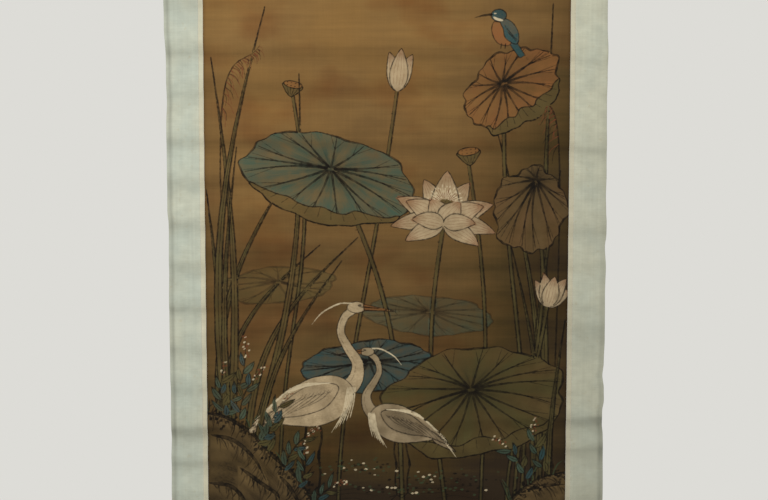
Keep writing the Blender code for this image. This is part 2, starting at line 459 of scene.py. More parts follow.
def thickness(shape: tuple[int, ...], pairs: Sequence[tuple[Sequence[Step], Array]]) -> tuple[Array, Array]:
    """Cloth in front of and behind the surface: doubled where turned back, thin at its very rim.

    Args:
        shape: the sheet's rows and columns.
        pairs: each edge's steps, and how far in from that edge each place lies.

    Returns:
        The thickness in front, and behind.
    """
    front, back, rim = np.full(shape, SINGLE), np.full(shape, SINGLE), np.ones(shape)
    for steps, inward in pairs:
        if not steps:
            continue
        inside, before, behind = np.array(steps).T
        here = np.interp(inward, inside, before)
        doubled = inward < inside[-1]
        front = np.where(doubled, np.maximum(front, here), front)
        back = np.where(doubled, np.maximum(back, np.interp(inward, inside, behind)), back)
        rim = np.where(inward < inside[1], np.minimum(rim, here), rim)
    return np.minimum(front, rim), back


def note(mesh: bpy.types.Mesh, name: str, values: Array, domain: str = "POINT") -> None:
    """Stores a vector for each point or face corner; the places past the given ones keep zeros.

    Args:
        mesh: the mesh.
        name: the attribute's name.
        values: one, two or three numbers in its last axis.
        domain: "POINT" or "CORNER".
    """
    attribute = mesh.attributes.new(name, "FLOAT_VECTOR", domain)
    whole = np.zeros((len(attribute.data), 3), np.float32)
    rows = values.reshape(-1, values.shape[-1])
    whole[: len(rows), : rows.shape[1]] = rows
    attribute.data.foreach_set("vector", whole.ravel())


@dataclass
class ClothGrid:
    """One sheet's points on a grid of rows down and columns across, in metres."""

    x: Array
    drop: Array
    front: Array  # y of the front
    back: Array  # y of the back
    toning: Array  # three numbers of wear for the finish, at each point
    turned: Array  # whether the cloth is turned back there, so that its back shows silk
    coarse: int = 1  # how many of the front's rows and columns each one of the back spans

    def both(self, values: Array, behind: Array | None = None) -> Array:
        """Values of the front's points, then of the back's, one row each.

        Args:
            values: those of the front's grid, with one or more numbers in the last axis.
            behind: those of the back's on the same grid, where they differ.

        Returns:
            A row of numbers for each point.
        """
        thinned = (values if behind is None else behind)[:: self.coarse, :: self.coarse]
        wide = values.shape[-1]
        return np.concatenate([values.reshape(-1, wide), thinned.reshape(-1, wide)])

    def faces(self) -> list[Array]:
        """Point numbers of the front's faces, the back's, and the four walls'.

        A wall's face runs along the front's finer points and returns by two points of the back.

        Returns:
            One array for each, with a row for each face.
        """
        step = self.coarse
        f = np.arange(self.x.size).reshape(self.x.shape)
        b = f[::step, ::step]
        b = f.size + np.arange(b.size).reshape(b.shape)
        faces = [
            np.stack([f[:-1, :-1], f[1:, :-1], f[1:, 1:], f[:-1, 1:]], -1).reshape(-1, 4),
            np.stack([b[:-1, :-1], b[:-1, 1:], b[1:, 1:], b[1:, :-1]], -1).reshape(-1, 4),
        ]
        top, right = (f[0], b[0]), (f[:, -1], b[:, -1])
        foot, left = (f[-1, ::-1], b[-1, ::-1]), (f[::-1, 0], b[::-1, 0])
        for fore, rear in (top, right, foot, left):
            spans = np.arange((len(fore) - 1) // step)[:, None] * step
            along = fore[spans + np.arange(step + 1)]
            faces.append(np.concatenate([along, rear[1:, None], rear[:-1, None]], 1))
        return faces

    def piece(self, name: str, silk: Material, paper: Material) -> bpy.types.Object:
        """Makes the closed sheet: a front grid, a back grid as fine or coarser, and walls along the edges.

        A face shows silk where all its points are on the front or on cloth that is turned back.

        Args:
            name: the piece's name.
            silk: the finish of the front and of the turned edges.
            paper: the finish of the rest of the back, and of plain walls.

        Returns:
            The sheet, whose first points and faces are the front's, row by row.
        """
        faces = self.faces()
        sizes = np.concatenate([np.full(len(face), face.shape[1]) for face in faces])
        starts = np.cumsum(sizes) - sizes
        corners = np.concatenate([face.ravel() for face in faces])
        front = np.stack([self.x, self.front, -self.drop], -1)
        points = self.both(front, np.stack([self.x, self.back, -self.drop], -1))
        is_silk = self.both(np.ones((*self.x.shape, 1), bool), self.turned[..., None])[:, 0]
        is_paper = ~np.logical_and.reduceat(is_silk[corners], starts)
        mesh = bpy.data.meshes.new(name + "_sheet")
        for items, kind, values in (
            (mesh.vertices, "co", points.astype(np.float32)),
            (mesh.loops, "vertex_index", corners.astype(np.int32)),
            (mesh.polygons, "loop_start", starts.astype(np.int32)),
        ):
            items.add(len(values))
            items.foreach_set(kind, values.ravel())
        mesh.polygons.foreach_set("material_index", is_paper.astype(np.int32))
        mesh.update(calc_edges=True)
        mesh.validate()
        mesh.shade_smooth()
        mesh.set_sharp_from_angle(angle=math.radians(35))
        note(mesh, "lay", self.both(np.stack([self.x, self.drop], -1)))
        note(mesh, "toning", self.both(self.toning))
        for finish in (silk, paper):
            mesh.materials.append(finish)
        LOG.info("%s: %d faces", name, len(mesh.polygons))
        return stand(name, mesh)


# ---- painting on silk


class Pigment(Enum):
    """The colours that the pond is painted in, each with a signed distance of its own."""

    SHELL = "b4a07e"
    MALACHITE = "3a5446"
    AZURE = "22494c"
    OCHRE = "83592f"
    SEDGE = "4c4a2a"
    EARTH = "6a5636"


class Ink(Enum):
    """The colours of drawn lines, by the whole number that their strength is added to."""

    BLACK = 0
    RUST = 1
    CREAM = 2
    GREEN = 3


INK_COLOURS = {Ink.BLACK: "0f0b07", Ink.RUST: "643721", Ink.CREAM: "c2b292", Ink.GREEN: "323d28"}

# What the canvas and the finish of the painted silk share, in millimetres where it is a length.
CHANNELS = 4  # how many lines a face has room for
FADE = 0.35  # half the width over which a drawn or laid edge fades
DARKEST = 0.97  # a line's strength stays under 1, since its ink's number is added to it
OUTSIDE = -60.0  # the signed distance before anything is laid
NO_LINE = (9.0, -9.0)  # distance and half width where nothing is drawn
COVER_REACH = 14.0  # how far round a patch its signed distance is worked out
LINE_REACH = 4.0  # the same for a line
WASH_REACH = 1.4  # how far past a patch's edge its wash is stored
LINE_SKIRT = 0.3  # a line also takes the faces that its edge comes this near
BURIED = 0.5  # a face this deep under a patch has its lines' room back


@dataclass(frozen=True)
class Wash:
    """How a patch is coloured: how dense, how far blushed with rust, and how inky."""

    dense: float = 0.92
    blush: float = 0.08
    shade: float = 0.10
    wave: float = 0.08
    marks: Place = (0.3, 0.1)  # brush marks per millimetre of u and of v

    def body(self, u: Array, v: Array) -> Array:
        """Density, blush and shade at each place; the shade waves as a sine of u and v."""
        shade = self.shade + self.wave * np.sin(u * 0.13 + v * 0.08)
        return np.stack([np.full(u.shape, self.dense), np.full(u.shape, self.blush), shade], -1)

    def flow(self, u: Array, v: Array) -> Array:
        """The two coordinates that brush marks follow: u and v, scaled."""
        return np.stack([u * self.marks[0], v * self.marks[1]], -1)


class Canvas:
    """The picture's grid, and what is painted on it.

    A colour is held as its signed distance from the edge of what it covers, and a line as the signed
    distance from its middle with its half width, so that edges stay crisp between the grid's points.
    A line is kept on the four corners of each face that it crosses, with room for CHANNELS lines.
    """

    def __init__(self, across: Array, up: Array) -> None:
        """Starts with bare silk.

        Args:
            across: u of the grid's columns.
            up: v of its rows.
        """
        self.across, self.up = across, up
        rows, cols = len(up), len(across)
        self.covers = {pigment: np.full((rows, cols), OUTSIDE) for pigment in Pigment}
        self.body = np.zeros((rows, cols, 3))
        self.flow = np.zeros((rows, cols, 2))
        self.lines = np.zeros((rows - 1, cols - 1, 4, CHANNELS, 3))
        self.lines[..., :2] = NO_LINE
        self.taken = np.zeros((rows - 1, cols - 1, CHANNELS), bool)

    def window(self, points: Array, margin: float) -> tuple[Window, Window, Array, Array] | None:
        """The part of the grid that holds some points.

        Args:
            points: places in the picture.
            margin: how much is added all round.

        Returns:
            Slices of its rows and columns, slices of the faces between them, and u and v of its
            points, or None off the picture.
        """
        low, high = points.min(0) - margin, points.max(0) + margin
        cols = np.searchsorted(self.across, [low[0], high[0]])
        rows = np.searchsorted(-self.up, [-high[1], -low[1]])
        down, over = slice(max(0, rows[0] - 1), rows[1] + 1), slice(max(0, cols[0] - 1), cols[1] + 1)
        if min(self.body[down, over].shape[:2]) < 2:
            return None
        faces = slice(down.start, down.stop - 1), slice(over.start, over.stop - 1)
        u, v = np.meshgrid(self.across[over], self.up[down])
        return (down, over), faces, u, v

    @staticmethod
    def corners(values: Array) -> Array:
        """Each face's four corner values, in the order of the mesh's corners."""
        return np.stack([values[:-1, :-1], values[1:, :-1], values[1:, 1:], values[:-1, 1:]], 2)

    def lay(self, outline: Array, pigment: Pigment, wash: Wash) -> None:
        """Lays a patch of colour over what is there.

        The signed distance is that to the nearest side of the outline, positive within it. Other
        colours are cut back by it, and lines under it are narrowed until they end at its edge.

        Args:
            outline: the patch's closed outline.
            pigment: its colour.
            wash: how it is coloured over its area.
        """
        found = self.window(outline, COVER_REACH)
        if found is None:
            return
        window, faces, u, v = found
        inside = inside_distance(np.stack([u.ravel(), v.ravel()], 1), outline).reshape(u.shape)
        for each, cover in self.covers.items():
            kept = cover[window]
            cover[window] = np.maximum(kept, inside) if each is pigment else np.minimum(kept, -inside)
        near = inside > -WASH_REACH
        self.body[window][near] = wash.body(u, v)[near]
        self.flow[window][near] = wash.flow(u, v)[near]
        held = self.lines[faces]
        depth = self.corners(inside)[: held.shape[0], : held.shape[1], :, None]
        held[..., 1] = np.minimum(held[..., 1], np.abs(held[..., 0]) - depth)
        self.taken[faces][(depth > BURIED).all(axis=(2, 3))] = False

    def draw(self, path: Array, half: Array | float, strength: float = 0.8, ink: Ink = Ink.BLACK) -> None:
        """Draws one brush line.

        Each place near it stores its distance to the side of the path, and the half width there; past
        its ends the half width falls off, so the line ends in a point.

        Args:
            path: places along the line.
            half: half its width along it.
            strength: how dark it is, under 1.
            ink: its colour.
        """
        half = np.broadcast_to(np.asarray(half, float), (len(path),))
        found = self.window(path, float(half.max()) + LINE_REACH)
        if found is None or len(path) < 2:
            return
        _, faces, u, v = found
        p = np.stack([u.ravel(), v.ravel()], 1)
        start, step = path[:-1], np.diff(path, axis=0)
        long = np.maximum(np.linalg.norm(step, axis=1), 1e-6)
        ahead = step / long[:, None]
        off = p[:, None, :] - start
        along = (off * ahead).sum(2)
        side = off[..., 1] * ahead[:, 0] - off[..., 0] * ahead[:, 1]
        held = np.clip(along, 0, long)
        nearest = np.argmin(side**2 + (along - held) ** 2, axis=1)
        pick = np.arange(len(p))
        side, along, held = side[pick, nearest], along[pick, nearest], held[pick, nearest]
        past = np.abs(along - held)
        open_end = ((nearest == 0) & (along < 0)) | ((nearest == len(long) - 1) & (along > held))
        away = np.where(open_end, np.abs(side), np.hypot(side, past))
        side = np.where(side < 0, -away, away)
        half = np.interp(nearest + held / long[nearest], np.arange(len(path)), half)
        half = half - np.where(open_end, past, 0)
        tone = np.full(len(p), min(strength, DARKEST) + ink.value)
        corner = self.corners(np.stack([side, half, tone], 1).reshape(*u.shape, 3))
        store, busy = self.lines[faces], self.taken[faces]
        corner = corner[: store.shape[0], : store.shape[1]]
        sides, halves = corner[..., 0], corner[..., 1]
        touched = (sides.min(2) < 0) & (sides.max(2) > 0) & (halves.max(2) > 0)
        touched |= (np.abs(sides) - halves).min(2) < LINE_SKIRT
        slot = np.argmin(busy, axis=2)
        r, c = np.nonzero(touched & ~busy.all(2))
        store[r, c, :, slot[r, c], :] = corner[r, c]
        busy[r, c, slot[r, c]] = True

    def round(self, outline: Array, half: Array | float, strength: float = 0.78) -> None:
        """Draws a line right round a closed outline."""
        self.draw(np.concatenate([outline, outline[:1]]), half, strength)

    def sides(self, outline: Array, there: Array | float, back: Array | float, strength: float) -> None:
        """Draws the two long edges of a ribbon's outline, one line there and one back."""
        self.draw(outline[: len(outline) // 2], there, strength)
        self.draw(outline[len(outline) // 2 :], back, strength)

    def dab(self, at: Array, step: Place, half: float, strength: float, ink: Ink = Ink.BLACK) -> None:
        """Draws one short touch of the brush, from a place by a small step."""
        self.draw(at + np.array([(0, 0), step]), half, strength, ink)

    def store(self, mesh: bpy.types.Mesh) -> None:
        """Writes what is painted onto a mesh.

        Args:
            mesh: the mesh whose front is this grid.
        """
        covers = np.stack([self.covers[pigment] for pigment in Pigment], -1)
        note(mesh, "cover_a", covers[..., :3])
        note(mesh, "cover_b", covers[..., 3:])
        note(mesh, "body", self.body)
        note(mesh, "flow", self.flow)
        for channel in range(CHANNELS):
            note(mesh, f"line_{channel}", self.lines[..., channel, :], "CORNER")


def inside_distance(points: Array, outline: Array) -> Array:
    """Signed distance of points from a closed outline, positive within it.

    The distance is that to the nearest side, and a point is within if a ray to its right crosses an
    odd number of sides.

    Args:
        points: places, one row each.
        outline: the outline's corners, in order.

    Returns:
        One distance for each place.
    """
    a, b = outline, np.roll(outline, -1, axis=0)
    step = b - a
    off = points[:, None, :] - a
    share = np.clip((off * step).sum(2) / np.maximum((step**2).sum(1), 1e-9), 0, 1)
    gap = np.sqrt(((off - share[..., None] * step) ** 2).sum(2)).min(1)
    rise = np.where(np.abs(step[:, 1]) < 1e-9, 1e-9, step[:, 1])
    above = (a[:, 1] > points[:, 1:2]) != (b[:, 1] > points[:, 1:2])
    crosses = above & (points[:, 0:1] < a[:, 0] + (points[:, 1:2] - a[:, 1]) / rise * step[:, 0])
    return np.where(crosses.sum(1) % 2 == 1, gap, -gap)


@dataclass(frozen=True)
class LeafWash(Wash):
    """A round leaf's colour: darker along its ribs and at its hub, thinner halfway out."""

    hub: Place = (0.0, 0.0)
    size: Place = (100.0, 50.0)
    tilt: float = 0.0
    ribs: int = 17
    seed: int = 1

    def polar(self, u: Array, v: Array) -> tuple[Array, Array]:
        """The angle about the hub, and how far out of the leaf a place lies, 1 at its rim."""
        off = turned(np.stack([u, v], -1) - self.hub, -self.tilt) / self.size
        return np.arctan2(off[..., 1], off[..., 0]), np.hypot(off[..., 0], off[..., 1])

    def body(self, u: Array, v: Array) -> Array:
        """The leaf's colour, as waves of the angle and bells of the way out.

        Args:
            u: places across.
            v: places up.

        Returns:
            Density, blush and shade at each.
        """
        angle, far = self.polar(u, v)
        rib = 0.5 + 0.5 * np.cos(self.ribs * angle + 0.6 * np.sin(3 * angle))
        dense = self.dense * (0.84 + 0.26 * rib - 0.16 * bell((far - 0.62) / 0.22))
        shade = 0.50 * bell(far / 0.34) + 0.26 * rib * np.clip(1 - far, 0, 1) + self.shade
        blush = self.blush * (0.3 + 0.7 * np.sin(4 * angle + self.seed) ** 2) * np.clip(far * 1.3, 0, 1)
        return np.stack([dense, blush, shade], -1)

    def flow(self, u: Array, v: Array) -> Array:
        """Brush marks that run out from the hub."""
        angle, far = self.polar(u, v)
        return np.stack([angle * 9.0 + self.seed * 7, far * 1.2], -1)


@dataclass(frozen=True)
class PetalWash(Wash):
    """A petal's colour: blushed towards its tip, shaded at its base and sides."""

    base: Place = (0.0, 0.0)
    ahead: Place = (0.0, 1.0)
    long: float = 60.0
    half: float = 15.0

    def frame(self, u: Array, v: Array) -> tuple[Array, Array]:
        """How far along the petal a place lies, and how far to its side, in millimetres."""
        off_u, off_v = u - self.base[0], v - self.base[1]
        return off_u * self.ahead[0] + off_v * self.ahead[1], off_v * self.ahead[0] - off_u * self.ahead[1]

    def body(self, u: Array, v: Array) -> Array:
        """The petal's colour, from how far along and aside each place lies.

        Args:
            u: places across.
            v: places up.

        Returns:
            Density, blush and shade at each.
        """
        along, aside = self.frame(u, v)
        t, side = along / self.long, aside / self.half
        blush = 0.70 * np.clip((t - 0.60) / 0.42, 0, 1) ** 1.4 + self.blush
        shade = 0.14 * side**2 + 0.30 * np.clip(0.40 - t, 0, 1)
        return np.stack([np.full(u.shape, self.dense), blush, shade], -1)

    def flow(self, u: Array, v: Array) -> Array:
        """Brush marks that run along the petal."""
        along, aside = self.frame(u, v)
        return np.stack([aside * 0.35 + self.long, along * 0.04], -1)


@dataclass(frozen=True)
class EarthWash(Wash):
    """A bank's colour: layers of shade that follow its top edge down."""

    top: tuple[Place, ...] = ()

    def depth(self, u: Array, v: Array) -> Array:
        """How far below the bank's top edge a place lies, in millimetres."""
        places, heights = zip(*self.top)
        return np.clip(np.interp(u, places, heights) - v, 0, 260)

    def body(self, u: Array, v: Array) -> Array:
        """The earth's colour; its shade grows with the depth, to a limit, in waves.

        Args:
            u: places across.
            v: places up.

        Returns:
            Density, blush and shade at each.
        """
        down = self.depth(u, v)
        shade = self.shade + 0.60 * (1 - np.exp(-down / 20)) + 0.12 * np.sin(u * 0.11 - v * 0.06)
        shade = shade + 0.10 * np.sin(down * 0.32 + 1.5 * np.sin(u * 0.05))
        dense = self.dense + 0.12 * np.sin(u * 0.03 + 1.0)
        return np.stack([dense, np.full(u.shape, self.blush), np.clip(shade, 0.04, 0.9)], -1)

    def flow(self, u: Array, v: Array) -> Array:
        """Brush marks that lie along the bank's layers."""
        return np.stack([u * 0.10, self.depth(u, v) * 0.16], -1)


@dataclass
class Motif:
    """Something painted in the pond, in millimetres of the picture."""

    canvas: Canvas = field(init=False)

    def paint_on(self, canvas: Canvas) -> None:
        """Paints it over what is on the canvas."""
        self.canvas = canvas
        self.paint()

    def paint(self) -> None:
        """Lays its colours and draws its lines."""
        raise NotImplementedError(type(self).__name__)


@dataclass
class LotusLeaf(Motif):
    """A round ruffled leaf seen aslant, with ribs that spread from its hub."""

    at: Place
    wide: float
    high: float
    tilt: float
    pigment: Pigment
    hub: Place = (0.0, 0.25)
    ruffle: float = 0.05
    ribs: int = 17
    seed: int = 1
    dense: float = 0.9
    blush: float = 0.0
    shade: float = 0.06
    lip: float = 0.0  # share of the way to the hub by which the lower rim turns up
    ink: float = 1.0  # how dark its lines are

    def rim(self, angle: Array) -> Array:
        """The leaf's edge: an ellipse whose radius is ruffled by four sines, then tilted.

        Args:
            angle: the angles about its middle.

        Returns:
            A place for each.
        """
        p = self.seed * 1.7
        wave = 0.50 * np.sin(5 * angle + p) + 0.35 * np.sin(8 * angle + 2 * p)
        wave = wave + 0.28 * np.sin(13 * angle + 3 * p) + 0.16 * np.sin(23 * angle + p)
        radius = 1 + self.ruffle * wave
        flat = np.stack([self.wide * radius * np.cos(angle), self.high * radius * np.sin(angle)], -1)
        return turned(flat, self.tilt) + self.at

    def paint(self) -> None:
        """Lays the leaf's wash, then draws its ribs and edge, and its turned-up lip."""
        rng = np.random.default_rng(self.seed)
        hub = turned([(self.hub[0] * self.wide, self.hub[1] * self.high)], self.tilt)[0] + self.at
        outline = self.rim(np.linspace(0, 2 * np.pi, 150, endpoint=False))
        wash = LeafWash(
            self.dense, self.blush, self.shade, hub=tuple(hub), size=(self.wide, self.high),
            tilt=self.tilt, ribs=self.ribs, seed=self.seed,
        )
        self.canvas.lay(outline, self.pigment, wash)
        for i in range(self.ribs):
            angle = 2 * np.pi * (i + 0.25 * rng.uniform(-1, 1)) / self.ribs + 0.1
            self.rib(rng, hub, angle)
        edge = 1.15 + 0.5 * np.sin(np.arange(len(outline) + 1) * 0.4)
        self.canvas.round(outline, edge, 0.9 * self.ink)
        if self.lip:
            self.turn_up(hub)

    def rib(self, rng: np.random.Generator, hub: Array, angle: float) -> None:
        """Draws one rib, bowed as a half sine, and the two veins that fork from it.

        Args:
            rng: where its stray and its bow come from.
            hub: where it starts.
            angle: where on the rim it points.
        """
        t = np.linspace(0.05, 0.97, 14)[:, None]
        tip = self.rim(np.array([angle + 0.05 * rng.uniform(-1, 1)]))[0]
        bend = turned(tip - hub, 90) * 0.06 * rng.uniform(-1, 1)
        rib = hub + (tip - hub) * t + bend * np.sin(np.pi * t)
        self.canvas.draw(rib, np.linspace(1.9, 0.5, len(t)), 0.82 * self.ink)
        fork = rib[8]
        for turn in (-1.53, 1.53):
            end = self.rim(np.array([angle + turn / self.ribs]))[0]
            vein = fork + (end - fork) * np.linspace(0, 0.96, 6)[:, None]
            self.canvas.draw(vein, np.linspace(0.7, 0.3, len(vein)), 0.62 * self.ink)

    def turn_up(self, hub: Array) -> None:
        """Lays the lip of the lower rim, turned up towards the hub by a power of a half sine.

        Args:
            hub: the leaf's hub.
        """
        angle = np.linspace(1.15 * np.pi, 1.85 * np.pi, 40)
        outer = self.rim(angle)
        swell = np.sin(np.linspace(0, np.pi, 40))[:, None] ** 0.7 * self.lip
        inner = outer + (hub - outer) * swell * (0.85 + 0.15 * np.sin(angle * 11))[:, None]
        under = Wash(0.72, 0.15, 0.12, 0.10, (0.08, 0.30))
        self.canvas.lay(np.concatenate([outer, inner[::-1]]), Pigment.SEDGE, under)
        self.canvas.draw(inner, 0.9, 0.88)
        self.canvas.draw(outer, 1.0, 0.88)
        for near, far in zip(inner[4:37:3], outer[4:37:3]):
            self.canvas.draw(np.stack([near, (near + 2 * far) / 3]), 0.5, 0.6)


class Petal(NamedTuple):
    """One petal: which way it points, its length, half width and bend."""

    angle: float
    long: float
    half: float
    bend: float


@dataclass
class Flower(Motif):
    """A cream lotus flower: its petals laid from back to front, with a seed head among them."""

    at: Place
    scale: float
    behind: tuple[Petal, ...]
    before: tuple[Petal, ...]
    lean: float = 0.0
    seed_head: bool = False

    def petal(self, row: Petal) -> None:
        """Lays one petal with its veins and edge.

        Its middle line bends as the square of the way along. Its half width is a sine of a power of
        the way along, to the power three quarters, cut to a point at the tip.

        Args:
            row: the petal.
        """
        t = np.linspace(0, 1, 22)
        long, wide = row.long * self.scale, row.half * self.scale
        half = wide * (np.sin(np.pi * t**0.85) ** 0.75 * (1 - 0.25 * t) + 0.10 * (1 - t))
        half[-1] = 0.1
        line = np.stack([row.long * t, row.bend * t**2], 1) * self.scale
        line = turned(line, row.angle + self.lean) + self.at
        outline = ribbon(line, half)
        ahead = (line[-1] - line[0]) / np.linalg.norm(line[-1] - line[0])
        wash = PetalWash(0.94, 0.08, base=tuple(line[0]), ahead=tuple(ahead), long=long, half=wide)
        self.canvas.lay(outline, Pigment.SHELL, wash)
        for share in (-0.55, -0.2, 0.2, 0.55):
            self.canvas.draw(line[3:20] + (outline[3:20] - line[3:20]) * share, 0.38, 0.42, Ink.RUST)
        self.canvas.sides(outline, pressed(22, 0.9, 0.6, 0.5), pressed(22, 0.9, 0.5, 0.6), 0.82)

    def heart(self) -> None:
        """Draws the fan of stamens, then lays the seed head with two rows of seeds."""
        middle = turned([(26.0, 0.0)], 90 + self.lean)[0] * self.scale + self.at
        for i in range(34):
            way = turned([(1.0, 0.0)], 8 + 164 * i / 33 + self.lean)[0]
            long = (17 + 4 * math.sin(i * 2.4)) * self.scale
            stamen = middle + way * np.array([[0.25], [0.65], [1.0]]) * long
            self.canvas.draw(stamen, 0.5, 0.7, Ink.CREAM if i % 2 else Ink.RUST)
            self.canvas.dab(stamen[-1], way * 1.6, 1.1, 0.8, Ink.CREAM)
        cup = middle + (oval(12.5, 6.0, 30) - [0, 1]) * self.scale
        self.canvas.lay(cup, Pigment.SEDGE, Wash(0.85, 0.1, 0.05))
        self.canvas.round(cup, 0.7)
        for i in range(9):
            seed = middle + np.array([(i % 5 - 2) * 4.4, 1.6 - 4.0 * (i // 5)]) * self.scale
            self.canvas.dab(seed, (1.0, 0.3), 0.8, 0.85)

    def paint(self) -> None:
        """Lays the back petals, the heart of an open flower, and the front petals."""
        for row in self.behind:
            self.petal(row)
        if self.seed_head:
            self.heart()
        for row in self.before:
            self.petal(row)


@dataclass
class Blade(Motif):
    """A reed blade or a stalk: a bowed path from root to tip with a half width."""

    root: Place
    tip: Place
    bow: float
    half: float
    dense: float = 0.78
    tapers: bool = True
    sway: float = 0.0
    shade: float = 0.34

    def path(self) -> Array:
        """The middle line: straight, pushed sideways by a half and a whole sine of the way along.

        Returns:
            Places along it.
        """
        t = np.linspace(0, 1, 48)[:, None]
        root, tip = np.array(self.root), np.array(self.tip)
        side = turned((tip - root) / np.linalg.norm(tip - root), 90)
        aside = self.bow * np.sin(np.pi * t) + self.sway * np.sin(2 * np.pi * t)
        return root + (tip - root) * t + side * aside

    def paint(self) -> None:
        """Lays a blade with its rib, or a stalk with its prickles, and draws its two edges."""
        line = self.path()
        count = len(line)
        t = np.linspace(0, 1, count)
        taper = (1 - t**2.2) * (0.55 + 0.45 * np.sin(np.pi * t**0.5)) + 0.02
        outline = ribbon(line, self.half * (taper if self.tapers else np.ones(count)))
        self.canvas.lay(outline, Pigment.SEDGE, Wash(self.dense, 0.10, self.shade, 0.22, (0.5, 0.02)))
        if self.tapers:
            self.canvas.draw(line[:-3], pressed(count - 3, 0.6, 0.9, 0.2), 0.7)
        self.canvas.sides(outline, pressed(count, 1.0, 0.8, 0.2), pressed(count, 1.2, 0.2, 0.9), 0.88)
        if not self.tapers:
            for place in range(3, count - 2, 2):
                away = (outline[place] - line[place]) * (1 if place % 4 == 1 else -1)
                self.canvas.draw(np.stack([line[place] + away * 0.6, line[place] + away * 1.8]), 0.55, 0.75)


@dataclass
class Plume(Motif):
    """A reed's drooping seed head: strokes that hang to one side of a nodding stem."""

    root: Place
    bend: Place
    tip: Place
    side: int = 1
    seed: int = 1

    def paint(self) -> None:
        """Draws the stem and its hanging strokes, shorter towards its tip."""
        rng = np.random.default_rng(self.seed)
        stem = curve_through([self.root, self.bend, self.tip], 24)
        self.canvas.draw(stem, pressed(len(stem), 1.2, 0.9, 0.2), 0.85)
        for i in range(44):
            place = int(len(stem) * (0.52 + 0.46 * i / 44))
            long = rng.uniform(13, 27) * (1.15 - 0.6 * i / 44)
            fall = turned([(0.0, -long)], self.side * rng.uniform(4, 50))[0]
            stroke = stem[place] + np.array([[0.0], [0.5], [1.0]]) * fall
            stroke[1] += [self.side * 2.5, 1.5]
            ink = Ink.RUST if i % 3 else Ink.BLACK
            self.canvas.draw(curve_through(stroke, 4), np.linspace(0.75, 0.35, 9), 0.7, ink)


@dataclass
class Bird(Motif):
    """A bird's own drawing, with its size, its place and which way it faces."""

    at: Place
    scale: float = 1.0
    faces: int = 1

    def place(self, points: Points, steps: int = 0) -> Array:
        """Puts the bird's own points in the picture, on a curve of some chords a span, or straight."""
        places = np.asarray(points, float) * [self.faces * self.scale, self.scale] + self.at
        return curve_through(places, steps) if steps else places

    def patch(self, points: Points, pigment: Pigment, wash: Wash, smooth: bool = True) -> None:
        """Lays one closed patch of the bird and draws its edge.

        Args:
            points: its outline in the bird's own drawing.
            pigment: its colour.
            wash: how it is coloured.
            smooth: whether its outline is a curve.
        """
        outline = curve_through(self.place(points), 8, True) if smooth else self.place(points)
        self.canvas.lay(outline, pigment, wash)
        self.canvas.round(outline, 0.8)


